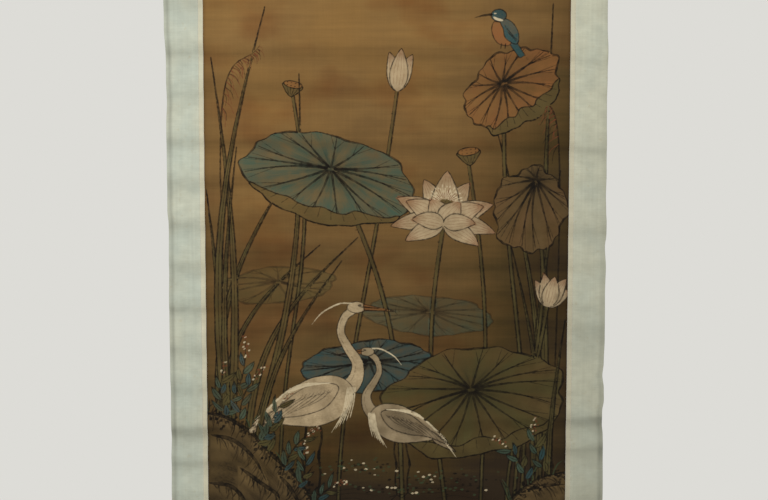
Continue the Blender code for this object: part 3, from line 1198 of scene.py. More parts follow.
@dataclass
class Egret(Bird):
    """A white wading bird, standing."""

    shade: float = 0.09

    @property
    def white(self) -> Wash:
        """The white of its neck, body and head."""
        return Wash(0.95, 0.05, self.shade, 0.09, (0.12, 0.20))

    def paint(self) -> None:
        """Paints legs, neck, body and head, each over the last."""
        for leg in (
            ((4, -8), (7, -34), (3, -58), (5, -84), (2, -112)),
            ((-12, -6), (-15, -32), (-20, -56), (-16, -82), (-17, -108)),
        ):
            self.leg(leg)
        self.neck()
        self.body()
        self.feathers()
        self.head()

    def leg(self, points: Points) -> None:
        """Draws one leg with a thicker joint and three toes.

        Args:
            points: places down the leg, in the bird's own drawing.
        """
        k = self.scale
        line = self.place(points, 10)
        self.canvas.draw(line, 1.6 * k, 0.92)
        self.canvas.draw(line[18:23], 2.4 * k, 0.92)
        for across, down in ((14, -4), (10, -9), (-9, -5)):
            end = np.array([across * self.faces * k, down * k])
            self.canvas.draw(np.stack([line[-1], line[-1] + end * 0.6, line[-1] + end]), 0.9 * k, 0.85)

    def neck(self) -> None:
        """Lays the bent neck, thinner upwards, with short strokes down its front."""
        line = self.place([(36, 26), (52, 44), (55, 66), (42, 88), (33, 108), (38, 128), (50, 138)], 10)
        widths = np.array([13, 7.5, 5, 5.2]) * self.scale
        outline = ribbon(line, np.interp(np.arange(len(line)), [0, 20, 40, len(line) - 1], widths))
        self.canvas.lay(outline, Pigment.SHELL, self.white)
        self.canvas.sides(outline, 0.8, 0.8, 0.8)
        for start in range(8, 50, 6):
            middle, rim = line[start : start + 6], outline[start : start + 6]
            self.canvas.draw(middle + (rim - middle) * 0.4, 0.4, 0.45)

    def body(self) -> None:
        """Lays body, tail and wing."""
        trunk = [(50, 24), (42, 42), (22, 50), (-8, 46), (-38, 28), (-66, 4)]
        belly = [(-86, -18), (-62, -14), (-30, -18), (4, -18), (34, -4)]
        self.patch(trunk + belly, Pigment.SHELL, self.white)
        tail = [(-58, 2), (-80, -14), (-100, -34), (-84, -28), (-62, -16)]
        self.patch(tail, Pigment.SHELL, Wash(0.9, 0.1, self.shade + 0.12, 0.1))
        wing = [(30, 34), (6, 40), (-22, 30), (-50, 8), (-84, -20), (-50, -8), (-18, -4), (14, 8)]
        self.patch(wing, Pigment.SHELL, Wash(0.97, 0.1, self.shade * 1.5, 0.1, (0.2, 0.3)))

    def feathers(self) -> None:
        """Draws the wing's quills and scallops, then the long plumes of back and breast."""
        for i in range(7):
            quill = [(20 - 8 * i, 30 - 2 * i), (4 - 10 * i, 16 - 2.5 * i), (-28 - 8 * i, 2 - 4 * i)]
            self.canvas.draw(self.place(quill, 10), pressed(21, 0.65, 0.5, 0.2), 0.6)
        for i in range(9):
            scallop = [(22 - 5 * i, 32 - i), (18 - 5 * i, 26 - i), (12 - 5 * i, 29 - 2 * i)]
            self.canvas.draw(self.place(scallop, 4), 0.4, 0.5)
        plume_width = pressed(21, 0.95, 0.6, 0.2)
        for i in range(6):
            plume = [(20 - 6 * i, 40), (-30 - 5 * i, 34 - 4 * i), (-82 - 4 * i, -10 - 7 * i)]
            self.canvas.draw(self.place(plume, 10), plume_width, 0.8, Ink.CREAM)
            breast = [(52 - 2 * i, 34), (50 - 3 * i, 14 - 3 * i), (45 - 5 * i, -8 - 4 * i)]
            self.canvas.draw(self.place(breast, 10), plume_width, 0.85, Ink.CREAM)

    def head(self) -> None:
        """Lays head and bill, then draws the gape, the eye and the crest."""
        self.patch(oval(12.5, 7.6, 12) + (54, 141.5), Pigment.SHELL, self.white)
        bill = [(63, 146), (106, 136), (64, 137.5)]
        self.patch(bill, Pigment.OCHRE, Wash(0.95, 0.3, 0.15), smooth=False)
        gape = self.place([(60, 142), (80, 140.5), (104, 136)])
        self.canvas.draw(gape, np.array([1.1, 0.7, 0.3]) * self.scale, 0.95)
        self.canvas.draw(self.place([(57.0, 144), (59.5, 144.2)]), 1.6 * self.scale, 0.95)
        crest = self.place([(48, 147), (30, 146), (8, 134), (-6, 118)], 10)
        self.canvas.draw(crest, pressed(31, 1.0, 0.7, 0.2), 0.9, Ink.CREAM)


@dataclass
class Kingfisher(Bird):
    """A small perched bird with an azure back and a rusty breast."""

    def paint(self) -> None:
        """Lays tail, breast, back, head and bill, each over the last."""
        azure = Wash(0.97, 0.0, 0.22, 0.1, (0.3, 0.2))
        tail = [(-14, -6), (-30, -30), (-22, -34), (-6, -12)]
        self.patch(tail, Pigment.AZURE, azure, smooth=False)
        breast = [(14, 18), (18, 4), (10, -12), (-6, -16), (-12, -4), (-2, 12)]
        self.patch(breast, Pigment.OCHRE, Wash(0.95, 0.6, 0.05))
        back = [(8, 24), (2, 8), (-2, -6), (-18, -14), (-20, 2), (-10, 18)]
        self.patch(back, Pigment.AZURE, Wash(0.98, 0.0, 0.1, 0.06, (0.3, 0.2)))
        for i in range(3):
            quill = [(-3 * i, 14 - 4 * i), (-6 - 4 * i, 2 - 3 * i), (-17 - i, -10 + i)]
            self.canvas.draw(self.place(quill), 0.5, 0.8)
        self.patch(oval(11, 8.5, 12) + (8, 27), Pigment.AZURE, azure)
        bill_width = np.array([1.9, 1.5, 0.3]) * self.scale
        for points, half, strength, ink in (
            ([(3, 20), (10, 21), (15, 24)], 1.6, 0.85, Ink.CREAM),
            ([(18, 28), (30, 27), (44, 23)], bill_width, 0.95, Ink.BLACK),
            ([(12.5, 29.5), (14, 29.5)], 1.3, 0.9, Ink.CREAM),
            ([(13, 29.5), (13.6, 29.5)], 0.6, 0.95, Ink.BLACK),
            ([(-2, -13), (-1, -20)], 0.8, 0.9, Ink.BLACK),
            ([(4, -13), (5, -20)], 0.8, 0.9, Ink.BLACK),
        ):
            self.canvas.draw(self.place(points), half, strength, ink)


@dataclass
class Bank(Motif):
    """A mossy bank of earth: its top profile, filled down past the picture's foot."""

    top: tuple[Place, ...]
    ledges: tuple[tuple[Place, ...], ...] = ()
    seed: int = 3
    foot: float = -560.0
    ledge_height: float = 46.0

    def lobe(self, rng: np.random.Generator, line: Array, low: float, dense: float) -> None:
        """Lays one lobe of earth, with its edge line and the strokes that fall from it.

        Args:
            rng: where the strokes' stray comes from.
            line: its top edge.
            low: its foot.
            dense: how dense its wash is.
        """
        outline = np.concatenate([line, [(line[-1, 0], low), (line[0, 0], low)]])
        wash = EarthWash(dense, 0.0, 0.16, top=tuple(sorted(map(tuple, line))))
        self.canvas.lay(outline, Pigment.EARTH, wash)
        self.canvas.draw(line, pressed(len(line), 2.9, 0.15, 0.1), 0.95)
        for before, here, after in zip(line[1:], line[2:-2], line[3:]):
            along = (after - before) / np.linalg.norm(after - before)
            down = turned([along], -90 + rng.uniform(5, 50))[0]
            fall = np.array([[0.0], [0.4], [1.0]]) * rng.uniform(5, 24)
            start = here + down * rng.uniform(0, 6) + along * rng.uniform(-4, 4)
            stroke = start + down * fall + along * fall * 0.25 * fall[::-1] / 10
            self.canvas.draw(stroke, [1.2, 0.9, 0.2], rng.uniform(0.4, 0.85))

    def paint(self) -> None:
        """Lays the earth in lobes, then dabs moss and draws tufts along its top."""
        rng = np.random.default_rng(self.seed)
        top = curve_through(self.top)
        self.lobe(rng, top, self.foot, 0.80)
        for ledge in map(curve_through, self.ledges):
            self.lobe(rng, ledge, ledge[:, 1].min() - self.ledge_height, 0.84)
        for place in rng.integers(2, len(top) - 2, 2 * len(top)):
            spot = top[place] + rng.normal(0, 1, 2) * 6 + [0, -3]
            self.canvas.dab(spot, (1.6, 1.2), 1.2 + 1.2 * rng.random(), 0.94)
        for root in top[4:-4:8]:
            for lean in range(-2, 3):
                tip = root + [rng.uniform(-16, 16), 14 + 18 * rng.random()]
                blade = curve_through([root + [lean, -2], (root + tip) / 2 + [lean * 1.5, 3], tip])
                ink = Ink.GREEN if lean % 2 else Ink.BLACK
                self.canvas.draw(blade, pressed(len(blade), 0.95, 0.9, 0.2), 0.85, ink)


@dataclass
class Pod(Motif):
    """A lotus seed pod, seen from a little above."""

    at: Place
    wide: float
    lean: float = 0.0

    def place(self, points: Points) -> Array:
        """Points of the pod's own drawing, whose half width is 1, put in the picture."""
        return turned(np.asarray(points, float) * self.wide, self.lean) + self.at

    def paint(self) -> None:
        """Lays the cup with its grooves, then its oval top with the seeds."""
        cup = [(-1, 0), (-0.8, -0.6), (-0.2, -1.2), (0.2, -1.2), (0.8, -0.6), (1, 0)]
        outline = curve_through(self.place(cup), 6, True)
        self.canvas.lay(outline, Pigment.SEDGE, Wash(0.92, 0.2, 0.3, 0.1, (0.5, 0.1)))
        self.canvas.round(outline, 0.8, 0.9)
        for x in (-0.6, -0.2, 0.2, 0.6):
            self.canvas.draw(self.place([(x, -0.2), (x * 0.8, -0.6), (x * 0.3, -1.1)]), 0.5, 0.7)
        top = self.place(oval(1.0, 0.36, 28))
        self.canvas.lay(top, Pigment.OCHRE, Wash(0.8, 0.1, 0.1))
        self.canvas.round(top, 0.8, 0.9)
        for i in range(8):
            seed = self.place([((i % 4 - 1.5) * 0.42, (0.5 - i // 4) * 0.3)])[0]
            self.canvas.dab(seed, (0.9, 0.2), 1.0, 0.9)


@dataclass
class Duckweed(Motif):
    """Small round dabs afloat on the water, thickest in the middle of their patch."""

    at: Place
    wide: float
    high: float
    count: int = 60
    seed: int = 1

    def paint(self) -> None:
        """Dabs the leaves, a few of them pale."""
        rng = np.random.default_rng(self.seed)
        for i in range(self.count):
            spot = rng.normal(0, 0.45, 2) * [self.wide, self.high] + self.at
            ink = Ink.CREAM if i % 9 == 0 else (Ink.BLACK, Ink.GREEN)[i % 2]
            self.canvas.dab(spot, (2.2, 0.2), rng.uniform(0.8, 1.7), 0.75, ink)


@dataclass
class Sprig(Motif):
    """A waterside weed: a bent stem set with small pointed leaves and a dotted spike."""

    root: Place
    tip: Place
    bow: float
    leaves: int = 9
    seed: int = 5
    pigments: tuple[Pigment, ...] = (Pigment.MALACHITE, Pigment.SEDGE, Pigment.MALACHITE, Pigment.AZURE)

    def paint(self) -> None:
        """Draws the stem, lays its leaves to alternate sides, and dots the spike at its tip."""
        rng = np.random.default_rng(self.seed)
        stem = Blade(self.root, self.tip, self.bow, 1.0).path()
        self.canvas.draw(stem, pressed(len(stem), 1.1, 0.9, 0.3), 0.85)
        t = np.linspace(0, 1, 14)
        for i in range(self.leaves):
            side = 1 if i % 2 else -1
            place = int(4 + i * (len(stem) - 16) / self.leaves)
            ahead = stem[place + 1] - stem[place]
            way = math.degrees(math.atan2(ahead[1], ahead[0])) + 48 * side + rng.uniform(-14, 14)
            long, half = rng.uniform(15, 27), rng.uniform(2.8, 4.4)
            line = turned(np.stack([long * t, -6 * side * t**2], 1), way) + stem[place]
            outline = ribbon(line, half * np.sin(np.pi * t**0.8) ** 0.9 + 0.05)
            pigment = self.pigments[(i + self.seed) % len(self.pigments)]
            self.canvas.lay(outline, pigment, Wash(0.88, 0.05, 0.26, 0.18, (0.3, 0.3)))
            self.canvas.draw(line, 0.5, 0.75)
            self.canvas.round(outline, 0.6)
        for i in range(22):
            spot = stem[-1 - i // 2] + rng.normal(0, 2.2, 2)
            self.canvas.dab(spot, (1.2, 0.8), 1.3, 0.8, Ink.RUST if i % 3 else Ink.CREAM)


@dataclass
class Ripple(Motif):
    """Three level brush lines on the water."""

    at: Place
    long: float

    def paint(self) -> None:
        """Draws the lines, each a shallow wave, shorter as they go down."""
        t = np.linspace(-1, 1, 20)
        for i in range(3):
            u = self.at[0] + 8 * i + self.long * (1 - 0.25 * i) * t
            v = self.at[1] - 7 * i + 2.2 * np.sin(3 * t + i)
            self.canvas.draw(np.stack([u, v], 1), pressed(20, 0.7, 0.2, 0.2), 0.45)


# The petals of the open flower, a closed bud and one that is opening, from the back to the front.
OPEN_BEHIND = (
    Petal(112, 60, 15, 6), Petal(68, 60, 15, -6), Petal(142, 64, 15, 14), Petal(38, 64, 15, -14),
    Petal(90, 66, 18, 0), Petal(168, 62, 13, 20), Petal(12, 62, 13, -20),
)
OPEN_BEFORE = (
    Petal(137, 52, 15, 14), Petal(43, 52, 15, -14), Petal(196, 50, 12, 10), Petal(-16, 50, 12, -10),
    Petal(112, 34, 15, 6), Petal(66, 33, 15, -6), Petal(160, 38, 11, 10), Petal(20, 38, 11, -10),
)
BUD = (Petal(102, 54, 11, 5), Petal(78, 54, 11, -5), Petal(90, 58, 13, 0))
HALF_OPEN = (
    Petal(118, 50, 12, 10), Petal(60, 50, 12, -10), Petal(104, 58, 14, 6), Petal(76, 58, 14, -6),
    Petal(90, 54, 15, 0),
)


def pond() -> list[Motif]:
    """The picture, from the back to the front.

    Returns:
        Every motif.
    """
    return [
        LotusLeaf((-150, -62), 78, 25, 4, Pigment.SEDGE, (0, 0.2), 0.06, 13, 22, 0.46, 0, 0.22, ink=0.5),
        LotusLeaf((58, -104), 88, 27, -4, Pigment.MALACHITE, (0, 0.2), 0.06, 15, 24, 0.46, 0, 0.22, ink=0.5),
        Plume((-216, -330), (-226, 170), (-172, 268), 1, 2),
        Plume((228, -430), (236, 120), (196, 190), -1, 9),
        Blade((-232, -330), (-248, 70), -10, 5.4, 0.9),
        Blade((-224, -330), (-118, 116), 52, 5.2, 0.9),
        Blade((-214, -330), (-92, -6), 60, 4.6, 0.9),
        Blade((206, -430), (152, 146), -30, 5.2, 0.9),
        Blade((232, -430), (226, 322), 12, 5.6, 0.9),
        Blade((-150, -330), (-129, 200), -18, 2.0, 0.85, False, 8),
        Pod((-128, 213), 13, -12),
        Blade((132, -560), (112, 106), -14, 2.2, 0.85, False, 6),
        Pod((112, 122), 15, 8),
        Blade((-222, -330), (-240, 250), -20, 5.5),
        Blade((-196, -340), (-40, 4), 50, 4.8),
        Blade((-204, -335), (-120, 228), -30, 5.0),
        Blade((-60, -560), (14, 206), 26, 2.2, 0.85, False, 8),
        Blade((150, -560), (160, 240), -30, 2.4, 0.85, False, -14),
        Blade((212, -430), (238, 96), 18, 5.2),
        LotusLeaf((172, 206), 70, 50, 34, Pigment.OCHRE, (-0.1, 0.3), 0.09, 17, 4, 0.8, 0.5, lip=0.35),
        Blade((176, -430), (200, 84), -16, 2.4, 0.85, False, 10),
        LotusLeaf((197, 42), 50, 58, -8, Pigment.EARTH, (0.05, 0.72), 0.10, 15, 15, 0.9, 0.22, 0.30),
        Flower((14, 204), 1.0, (), BUD, -6),
        Blade((40, -560), (-74, 96), -34, 2.8, 0.85, False, 12),
        LotusLeaf((-80, 84), 120, 60, -13, Pigment.MALACHITE, seed=2, dense=0.92, blush=0.12, lip=0.30),
        Blade((96, -560), (78, 22), 18, 2.6, 0.85, False, -8),
        Flower((78, 22), 1.12, OPEN_BEHIND, OPEN_BEFORE, -4, True),
        Blade((170, -430), (222, -92), 12, 2.2, 0.85, False, 6),
        Flower((222, -92), 0.8, (), HALF_OPEN, -14),
        Blade((205, -430), (172, -10), -22, 4.6),
        LotusLeaf((-28, -176), 92, 36, 6, Pigment.AZURE, (0.05, 0.2), 0.06, seed=12, dense=0.85, shade=0.14),
        LotusLeaf((120, -226), 128, 76, 8, Pigment.SEDGE, (0.0, 0.25), 0.06, 19, 7, 0.90, 0.25, 0.16, 0.26),
        Blade((225, -430), (247, -110), 8, 4.4, 0.9),
        Kingfisher((160, 281), 0.95, -1),
        Egret((16, -268), 0.80, -1, 0.42),
        Egret((-98, -240), 1.04, 1),
        LotusLeaf((10, -416), 120, 36, -3, Pigment.MALACHITE, (0.0, 0.2), 0.05, 15, 9, 0.85, 0.3, 0.2),
        Blade((-214, -330), (-166, 318), 40, 6.0, 0.88),
        Blade((-215, -325), (-206, 128), 14, 4.6, 0.9),
        Blade((-190, -345), (-62, -28), 28, 4.0),
        Ripple((-62, -350), 60), Ripple((84, -346), 62), Ripple((-20, -500), 90),
        Duckweed((-36, -318), 70, 12, 70, 2),
        Duckweed((70, -334), 74, 14, 70, 3),
        Duckweed((10, -350), 110, 8, 60, 4),
        Bank(
            (
                (-262, -240), (-226, -246), (-190, -268), (-160, -300),
                (-128, -330), (-104, -368), (-84, -420), (-66, -560),
            ),
            (
                ((-246, -272), (-214, -280), (-186, -304), (-168, -338)),
                ((-206, -318), (-176, -340), (-150, -360), (-132, -396)),
                ((-250, -340), (-216, -346), (-196, -372), (-186, -408)),
                ((-150, -330), (-136, -346), (-122, -372), (-116, -400)),
            ),
        ),
        Bank(
            ((118, -560), (126, -462), (150, -398), (180, -358), (214, -334), (262, -322)),
            (
                ((160, -410), (184, -382), (214, -364), (246, -356)),
                ((176, -460), (200, -420), (236, -398), (262, -390)),
                ((196, -350), (222, -344), (250, -342)),
            ),
            seed=6,
        ),
        Sprig((-168, -306), (-128, -204), 12),
        Sprig((-236, -250), (-196, -134), -14, 8, 8),
        Sprig((-206, -258), (-170, -176), 10, 6, 14),
        Sprig((-186, -288), (-152, -232), -8, 7, 21),
        Sprig((-146, -330), (-96, -262), 10, 7, 23),
        Sprig((-128, -352), (-116, -282), -8, 6, 27),
        Sprig((-222, -252), (-224, -170), 8, 7, 31),
        Sprig((-108, -382), (-58, -338), 8, 6, 33),
        Sprig((196, -342), (150, -276), -10, 6, 11),
        Sprig((226, -332), (206, -250), 8, 6, 17),
    ]


# ---- finishes


def bare(name: str) -> tuple[Material, Tree, bpy.types.Node]:
    """A new material.

    Args:
        name: its name.

    Returns:
        The material, its node tree and its Principled shader.
    """
    made = bpy.data.materials.new(name)
    made.use_nodes = True
    return made, made.node_tree, made.node_tree.nodes["Principled BSDF"]


def dress(
    shader: bpy.types.Node, colour: Socket, rough: Socket, height: Socket,
    relief: float, depth: float = 0.0004,
) -> None:
    """Gives a shader its looks.

    Args:
        shader: the shader.
        colour: its colour.
        rough: its roughness.
        height: the height of its fine relief.
        relief: how strong the relief is.
        depth: how deep it is, in metres.
    """
    tree = shader.id_data
    bump = put(tree, "Bump", {"Strength": relief, "Distance": depth, "Height": height})[0]
    for name, value in (("Base Color", colour), ("Roughness", rough), ("Normal", bump)):
        tree.links.new(value, shader.inputs[name])


def stored(tree: Tree, name: str) -> Sockets:
    """The three numbers that the cloth holds under one name at each place."""
    return put(tree, "SeparateXYZ", (put(tree, "Attribute", attribute_name=name)["Vector"],))


def threads(
    tree: Tree, where: Socket, wide: float, high: float, detail: float = 2.0,
    span: tuple[float, ...] = (),
) -> Socket:
    """Cloudy marks of a real size on the cloth, such as threads, streaks or stains.

    Args:
        tree: the material's nodes.
        where: the place on the cloth, in metres.
        wide: how wide one mark is, in millimetres.
        high: how high it is, in millimetres.
        detail: how many finer layers it has.
        span: two of its values, then what these become; without it they vary about a half.

    Returns:
        A value for each place.
    """
    stretch = (0.5 / (wide * MM), 0.5 / (high * MM), 1.0)
    place = put(tree, "VectorMath", (where, stretch), operation="MULTIPLY")[0]
    marks = put(tree, "TexNoise", {"Vector": place, "Scale": 1.0, "Detail": detail})[0]
    return put(tree, "MapRange", (marks, *span))[0] if span else marks


@dataclass(frozen=True)
class PaintedSilk:
    """Aged painting silk: an even plain weave darkened to brown by years of smoke, sized and painted.

    To the eye it is matt and warm, banded across where it was rolled, with soot-dark ink that soaks in
    and mineral colours that lie on top, thin and a little worn. Its bands also paint the folds' shade and
    light, and its troughs their shade.
    """

    # True threads are under 0.3 mm; they are drawn this many millimetres thick to show at all.
    weft_mm: float = 0.7
    warp_mm: float = 1.4

    def build(self) -> Material:
        """Mixes silk, washes and lines in the order in which they were put on.

        Returns:
            The finish.
        """
        made, tree, shader = bare("aged_painting_silk")
        where = put(tree, "Attribute", attribute_name="lay")["Vector"]
        tone = stored(tree, "toning")
        blotch = threads(tree, where, 55, 45, 4.0)
        weft = threads(tree, where, 16, self.weft_mm)
        warp = threads(tree, where, self.warp_mm, 45)
        level = tone[0]
        for texture, amount in (
            (threads(tree, where, 170, 13, 3.0), 0.11),
            (threads(tree, where, 60, 3.2, 3.0), 0.07),
            (blotch, 0.18),
            (weft, 0.035),
            (warp, 0.03),
        ):
            shift = put(tree, "MapRange", (texture, 0.25, 0.75, -amount / 2, amount / 2))[0]
            level = put(tree, "Math", (level, shift), operation="ADD")[0]
        shades = {0.0: "2b2115", 0.25: "46371c", 0.55: "6a502d", 0.85: "8c6b3d", 1.0: "9f7d4a"}
        colour = put(tree, "ValToRGB", (level,), shades)[0]
        greener = threads(tree, where, 120, 90, 3.0, (0.45, 0.7, 0.0, 0.3))
        redder = threads(tree, where, 60, 38, 3.0, (0.5, 0.72, 0.0, 0.45))
        for share, tint in ((greener, "6a6238"), (redder, "8a5638")):
            tinted = {0: share, 6: colour, 7: linear(tint)}
            colour = put(tree, "Mix", tinted, data_type="RGBA", blend_type="SOFT_LIGHT")[2]
        colour = self.drawing(tree, self.washes(tree, colour, where), where)
        # painted shade and dust in the troughs and creases, and soil along the edges, darken the silk
        shade_and_soil = put(tree, "MapRange", (tone[2], 0.0, 1.0, 1.0, 0.5))[0]
        colour = put(tree, "Mix", {0: 1.0, 6: colour, 7: shade_and_soil}, data_type="RGBA", blend_type="MULTIPLY")[2]
        shader.inputs["Specular IOR Level"].default_value = 0.12
        rough = put(tree, "MapRange", (blotch, 0.3, 0.7, 0.74, 0.9))[0]
        height = put(tree, "Math", (weft, warp), operation="ADD")[0]
        dress(shader, colour, rough, height, 0.2)
        return made

    def washes(self, tree: Tree, colour: Socket, where: Socket) -> Socket:
        """Lays each pigment where its signed distance is positive, thinned by brush marks and wear.

        Args:
            tree: the material's nodes.
            colour: the colour so far.
            where: the place on the cloth.

        Returns:
            The colour with the washes on it.
        """
        body = stored(tree, "body")
        flow = put(tree, "Attribute", attribute_name="flow")["Vector"]
        marks = put(tree, "TexNoise", {"Vector": flow, "Scale": 2.2, "Detail": 4.0, "Roughness": 0.6})[0]
        edge = threads(tree, where, 1.2, 1.2, span=(0.3, 0.7, -0.5, 0.5))
        brushed = put(tree, "MapRange", (marks, 0.3, 0.7, 0.72, 1.1))[0]
        worn = threads(tree, where, 9, 9, 5.0, (0.36, 0.56, 0.70, 1.0))
        dense = put(tree, "Math", (body[0], brushed), operation="MULTIPLY")[0]
        dense = put(tree, "Math", (dense, worn), operation="MULTIPLY", use_clamp=True)[0]
        shaded = put(tree, "Math", (body[2], brushed), operation="MULTIPLY", use_clamp=True)[0]
        covers = (*stored(tree, "cover_a")[:3], *stored(tree, "cover_b")[:3])
        for pigment, cover in zip(Pigment, covers):
            frayed = put(tree, "Math", (cover, edge), operation="ADD")[0]
            on = put(tree, "MapRange", (frayed, -FADE, FADE, 0.0, 1.0))[0]
            blushed = {0: body[1], 6: linear(pigment.value), 7: linear("7a4a2c")}
            paint = put(tree, "Mix", blushed, data_type="RGBA")[2]
            paint = put(tree, "Mix", {0: shaded, 6: paint, 7: linear("15100a")}, data_type="RGBA")[2]
            share = put(tree, "Math", (on, dense), operation="MULTIPLY", use_clamp=True)[0]
            colour = put(tree, "Mix", {0: share, 6: colour, 7: paint}, data_type="RGBA")[2]
        return colour

    def drawing(self, tree: Tree, colour: Socket, where: Socket) -> Socket:
        """Draws the brush lines: dark where the half width exceeds the distance from the line.

        Args:
            tree: the material's nodes.
            colour: the colour so far.
            where: the place on the cloth.

        Returns:
            The colour with the lines on it.
        """
        swing = threads(tree, where, 2, 2, 3.0, (0.3, 0.7, -0.35, 0.35))
        loaded = threads(tree, where, 5, 5, 4.0, (0.35, 0.6, 0.6, 1.0))
        stops = {ink.value / len(Ink): shade for ink, shade in INK_COLOURS.items()}
        for channel in range(CHANNELS):
            side, half, dark = stored(tree, f"line_{channel}")
            away = put(tree, "Math", (side,), operation="ABSOLUTE")[0]
            room = put(tree, "Math", (half, away), operation="SUBTRACT")[0]
            room = put(tree, "Math", (room, swing), operation="ADD")[0]
            on = put(tree, "MapRange", (room, -FADE, FADE, 0.0, 1.0))[0]
            kind = put(tree, "Math", (dark,), operation="FLOOR")[0]
            strength = put(tree, "Math", (dark, kind), operation="SUBTRACT")[0]
            place = put(tree, "MapRange", (kind, -0.5, len(Ink) - 0.5, 0.0, 1.0))[0]
            inks = put(tree, "ValToRGB", (place,), stops)[0]
            inks.node.color_ramp.interpolation = "CONSTANT"
            share = put(tree, "Math", (on, strength), operation="MULTIPLY")[0]
            share = put(tree, "Math", (share, loaded), operation="MULTIPLY", use_clamp=True)[0]
            colour = put(tree, "Mix", {0: share, 6: colour, 7: inks}, data_type="RGBA")[2]
        return colour


@dataclass(frozen=True)
class MountSilk:
    """Mounting silk: plain woven, dyed, starched and pasted on paper, faded unevenly.

    To the eye it is matt, with a slight sheen along the weft, paler slubs, faint brown specks, and a
    grey line in each trough, painted shade with some dust.
    """

    name: str
    cool: str
    warm: str
    # the colour of the painted shade and dust in troughs, creases and darker patches
    dust_and_shade: str

    def build(self) -> Material:
        """Mixes the dye's two casts, streaks, specks, and the painted shade with some dust in the troughs.

        Returns:
            The finish.
        """
        made, tree, shader = bare(self.name)
        where = put(tree, "Attribute", attribute_name="lay")["Vector"]
        marks = stored(tree, "toning")
        patch = threads(tree, where, 22, 30, 4.0)
        streak = threads(tree, where, 1.6, 60, 3.0)
        slub = threads(tree, where, 9, 0.8)
        cast = put(tree, "MapRange", (patch, 0.34, 0.66, -0.35, 0.35))[0]
        cast = put(tree, "Math", (cast, marks[1]), operation="ADD", use_clamp=True)[0]
        colour = put(tree, "Mix", {0: cast, 6: linear(self.cool), 7: linear(self.warm)}, data_type="RGBA")[2]
        light = put(tree, "MapRange", (streak, 0.3, 0.7, 0.955, 1.035))[0]
        finer = put(tree, "MapRange", (slub, 0.3, 0.7, 0.965, 1.035))[0]
        cloud = threads(tree, where, 9, 6, 4.0, (0.3, 0.7, 0.92, 1.06))
        for factor in (finer, cloud):
            light = put(tree, "Math", (light, factor), operation="MULTIPLY")[0]
        colour = put(tree, "Mix", {0: 1.0, 6: colour, 7: light}, data_type="RGBA", blend_type="MULTIPLY")[2]
        specks = threads(tree, where, 4, 4, 4.0, (0.62, 0.74, 0.0, 0.25))
        colour = put(tree, "Mix", {0: specks, 6: colour, 7: linear("a1906b")}, data_type="RGBA")[2]
        # painted shade with some dust: the third toning number darkens the silk towards the dust colour
        breakup = put(tree, "MapRange", (patch, 0.3, 0.7, 0.7, 1.1))[0]
        shade_and_dust_share = put(tree, "Math", (marks[2], breakup), operation="MULTIPLY", use_clamp=True)[0]
        colour = put(tree, "Mix", {0: shade_and_dust_share, 6: colour, 7: linear(self.dust_and_shade)}, data_type="RGBA")[2]
        shader.inputs["Specular IOR Level"].default_value = 0.3
        rough = put(tree, "MapRange", (streak, 0.3, 0.7, 0.68, 0.84))[0]
        height = put(tree, "Math", (streak, slub), operation="ADD")[0]
        dress(shader, colour, rough, height, 0.3)
        return made


@dataclass(frozen=True)
class BackingPaper:
    """Layered mulberry paper pasted behind the silk: soft, fibrous, a little yellowed and clouded."""

    def build(self) -> Material:
        """Mixes pale paper with long fibres and faint clouds.

        Returns:
            The finish.
        """
        made, tree, shader = bare("backing_paper")
        where = put(tree, "TexCoord")["Object"]
        long = put(tree, "VectorMath", (where, (260, 1, 60)), operation="MULTIPLY")[0]
        fibre = put(tree, "TexNoise", {"Vector": long, "Scale": 1.0, "Detail": 4.0})[0]
        cloud = put(tree, "TexNoise", {"Vector": where, "Scale": 7.0, "Detail": 5.0})[0]
        colour = put(tree, "ValToRGB", (cloud,), {0.3: "b9a988", 0.55: "cbbd9e", 0.75: "d4c8ad"})[0]
        light = put(tree, "MapRange", (fibre, 0.3, 0.7, 0.93, 1.05))[0]
        colour = put(tree, "Mix", {0: 1.0, 6: colour, 7: light}, data_type="RGBA", blend_type="MULTIPLY")[2]
        rough = put(tree, "MapRange", (cloud, 0.3, 0.7, 0.82, 0.94))[0]
        dress(shader, colour, rough, fibre, 0.2, 0.0003)
        return made


# ---- the scroll's cloths


class Band(NamedTuple):
    """A light or dark band across the silk along a fold: painted shade and light of the fold, with the silk's
    own banding.
    """

    drop: float
    amount: float
    spread: float


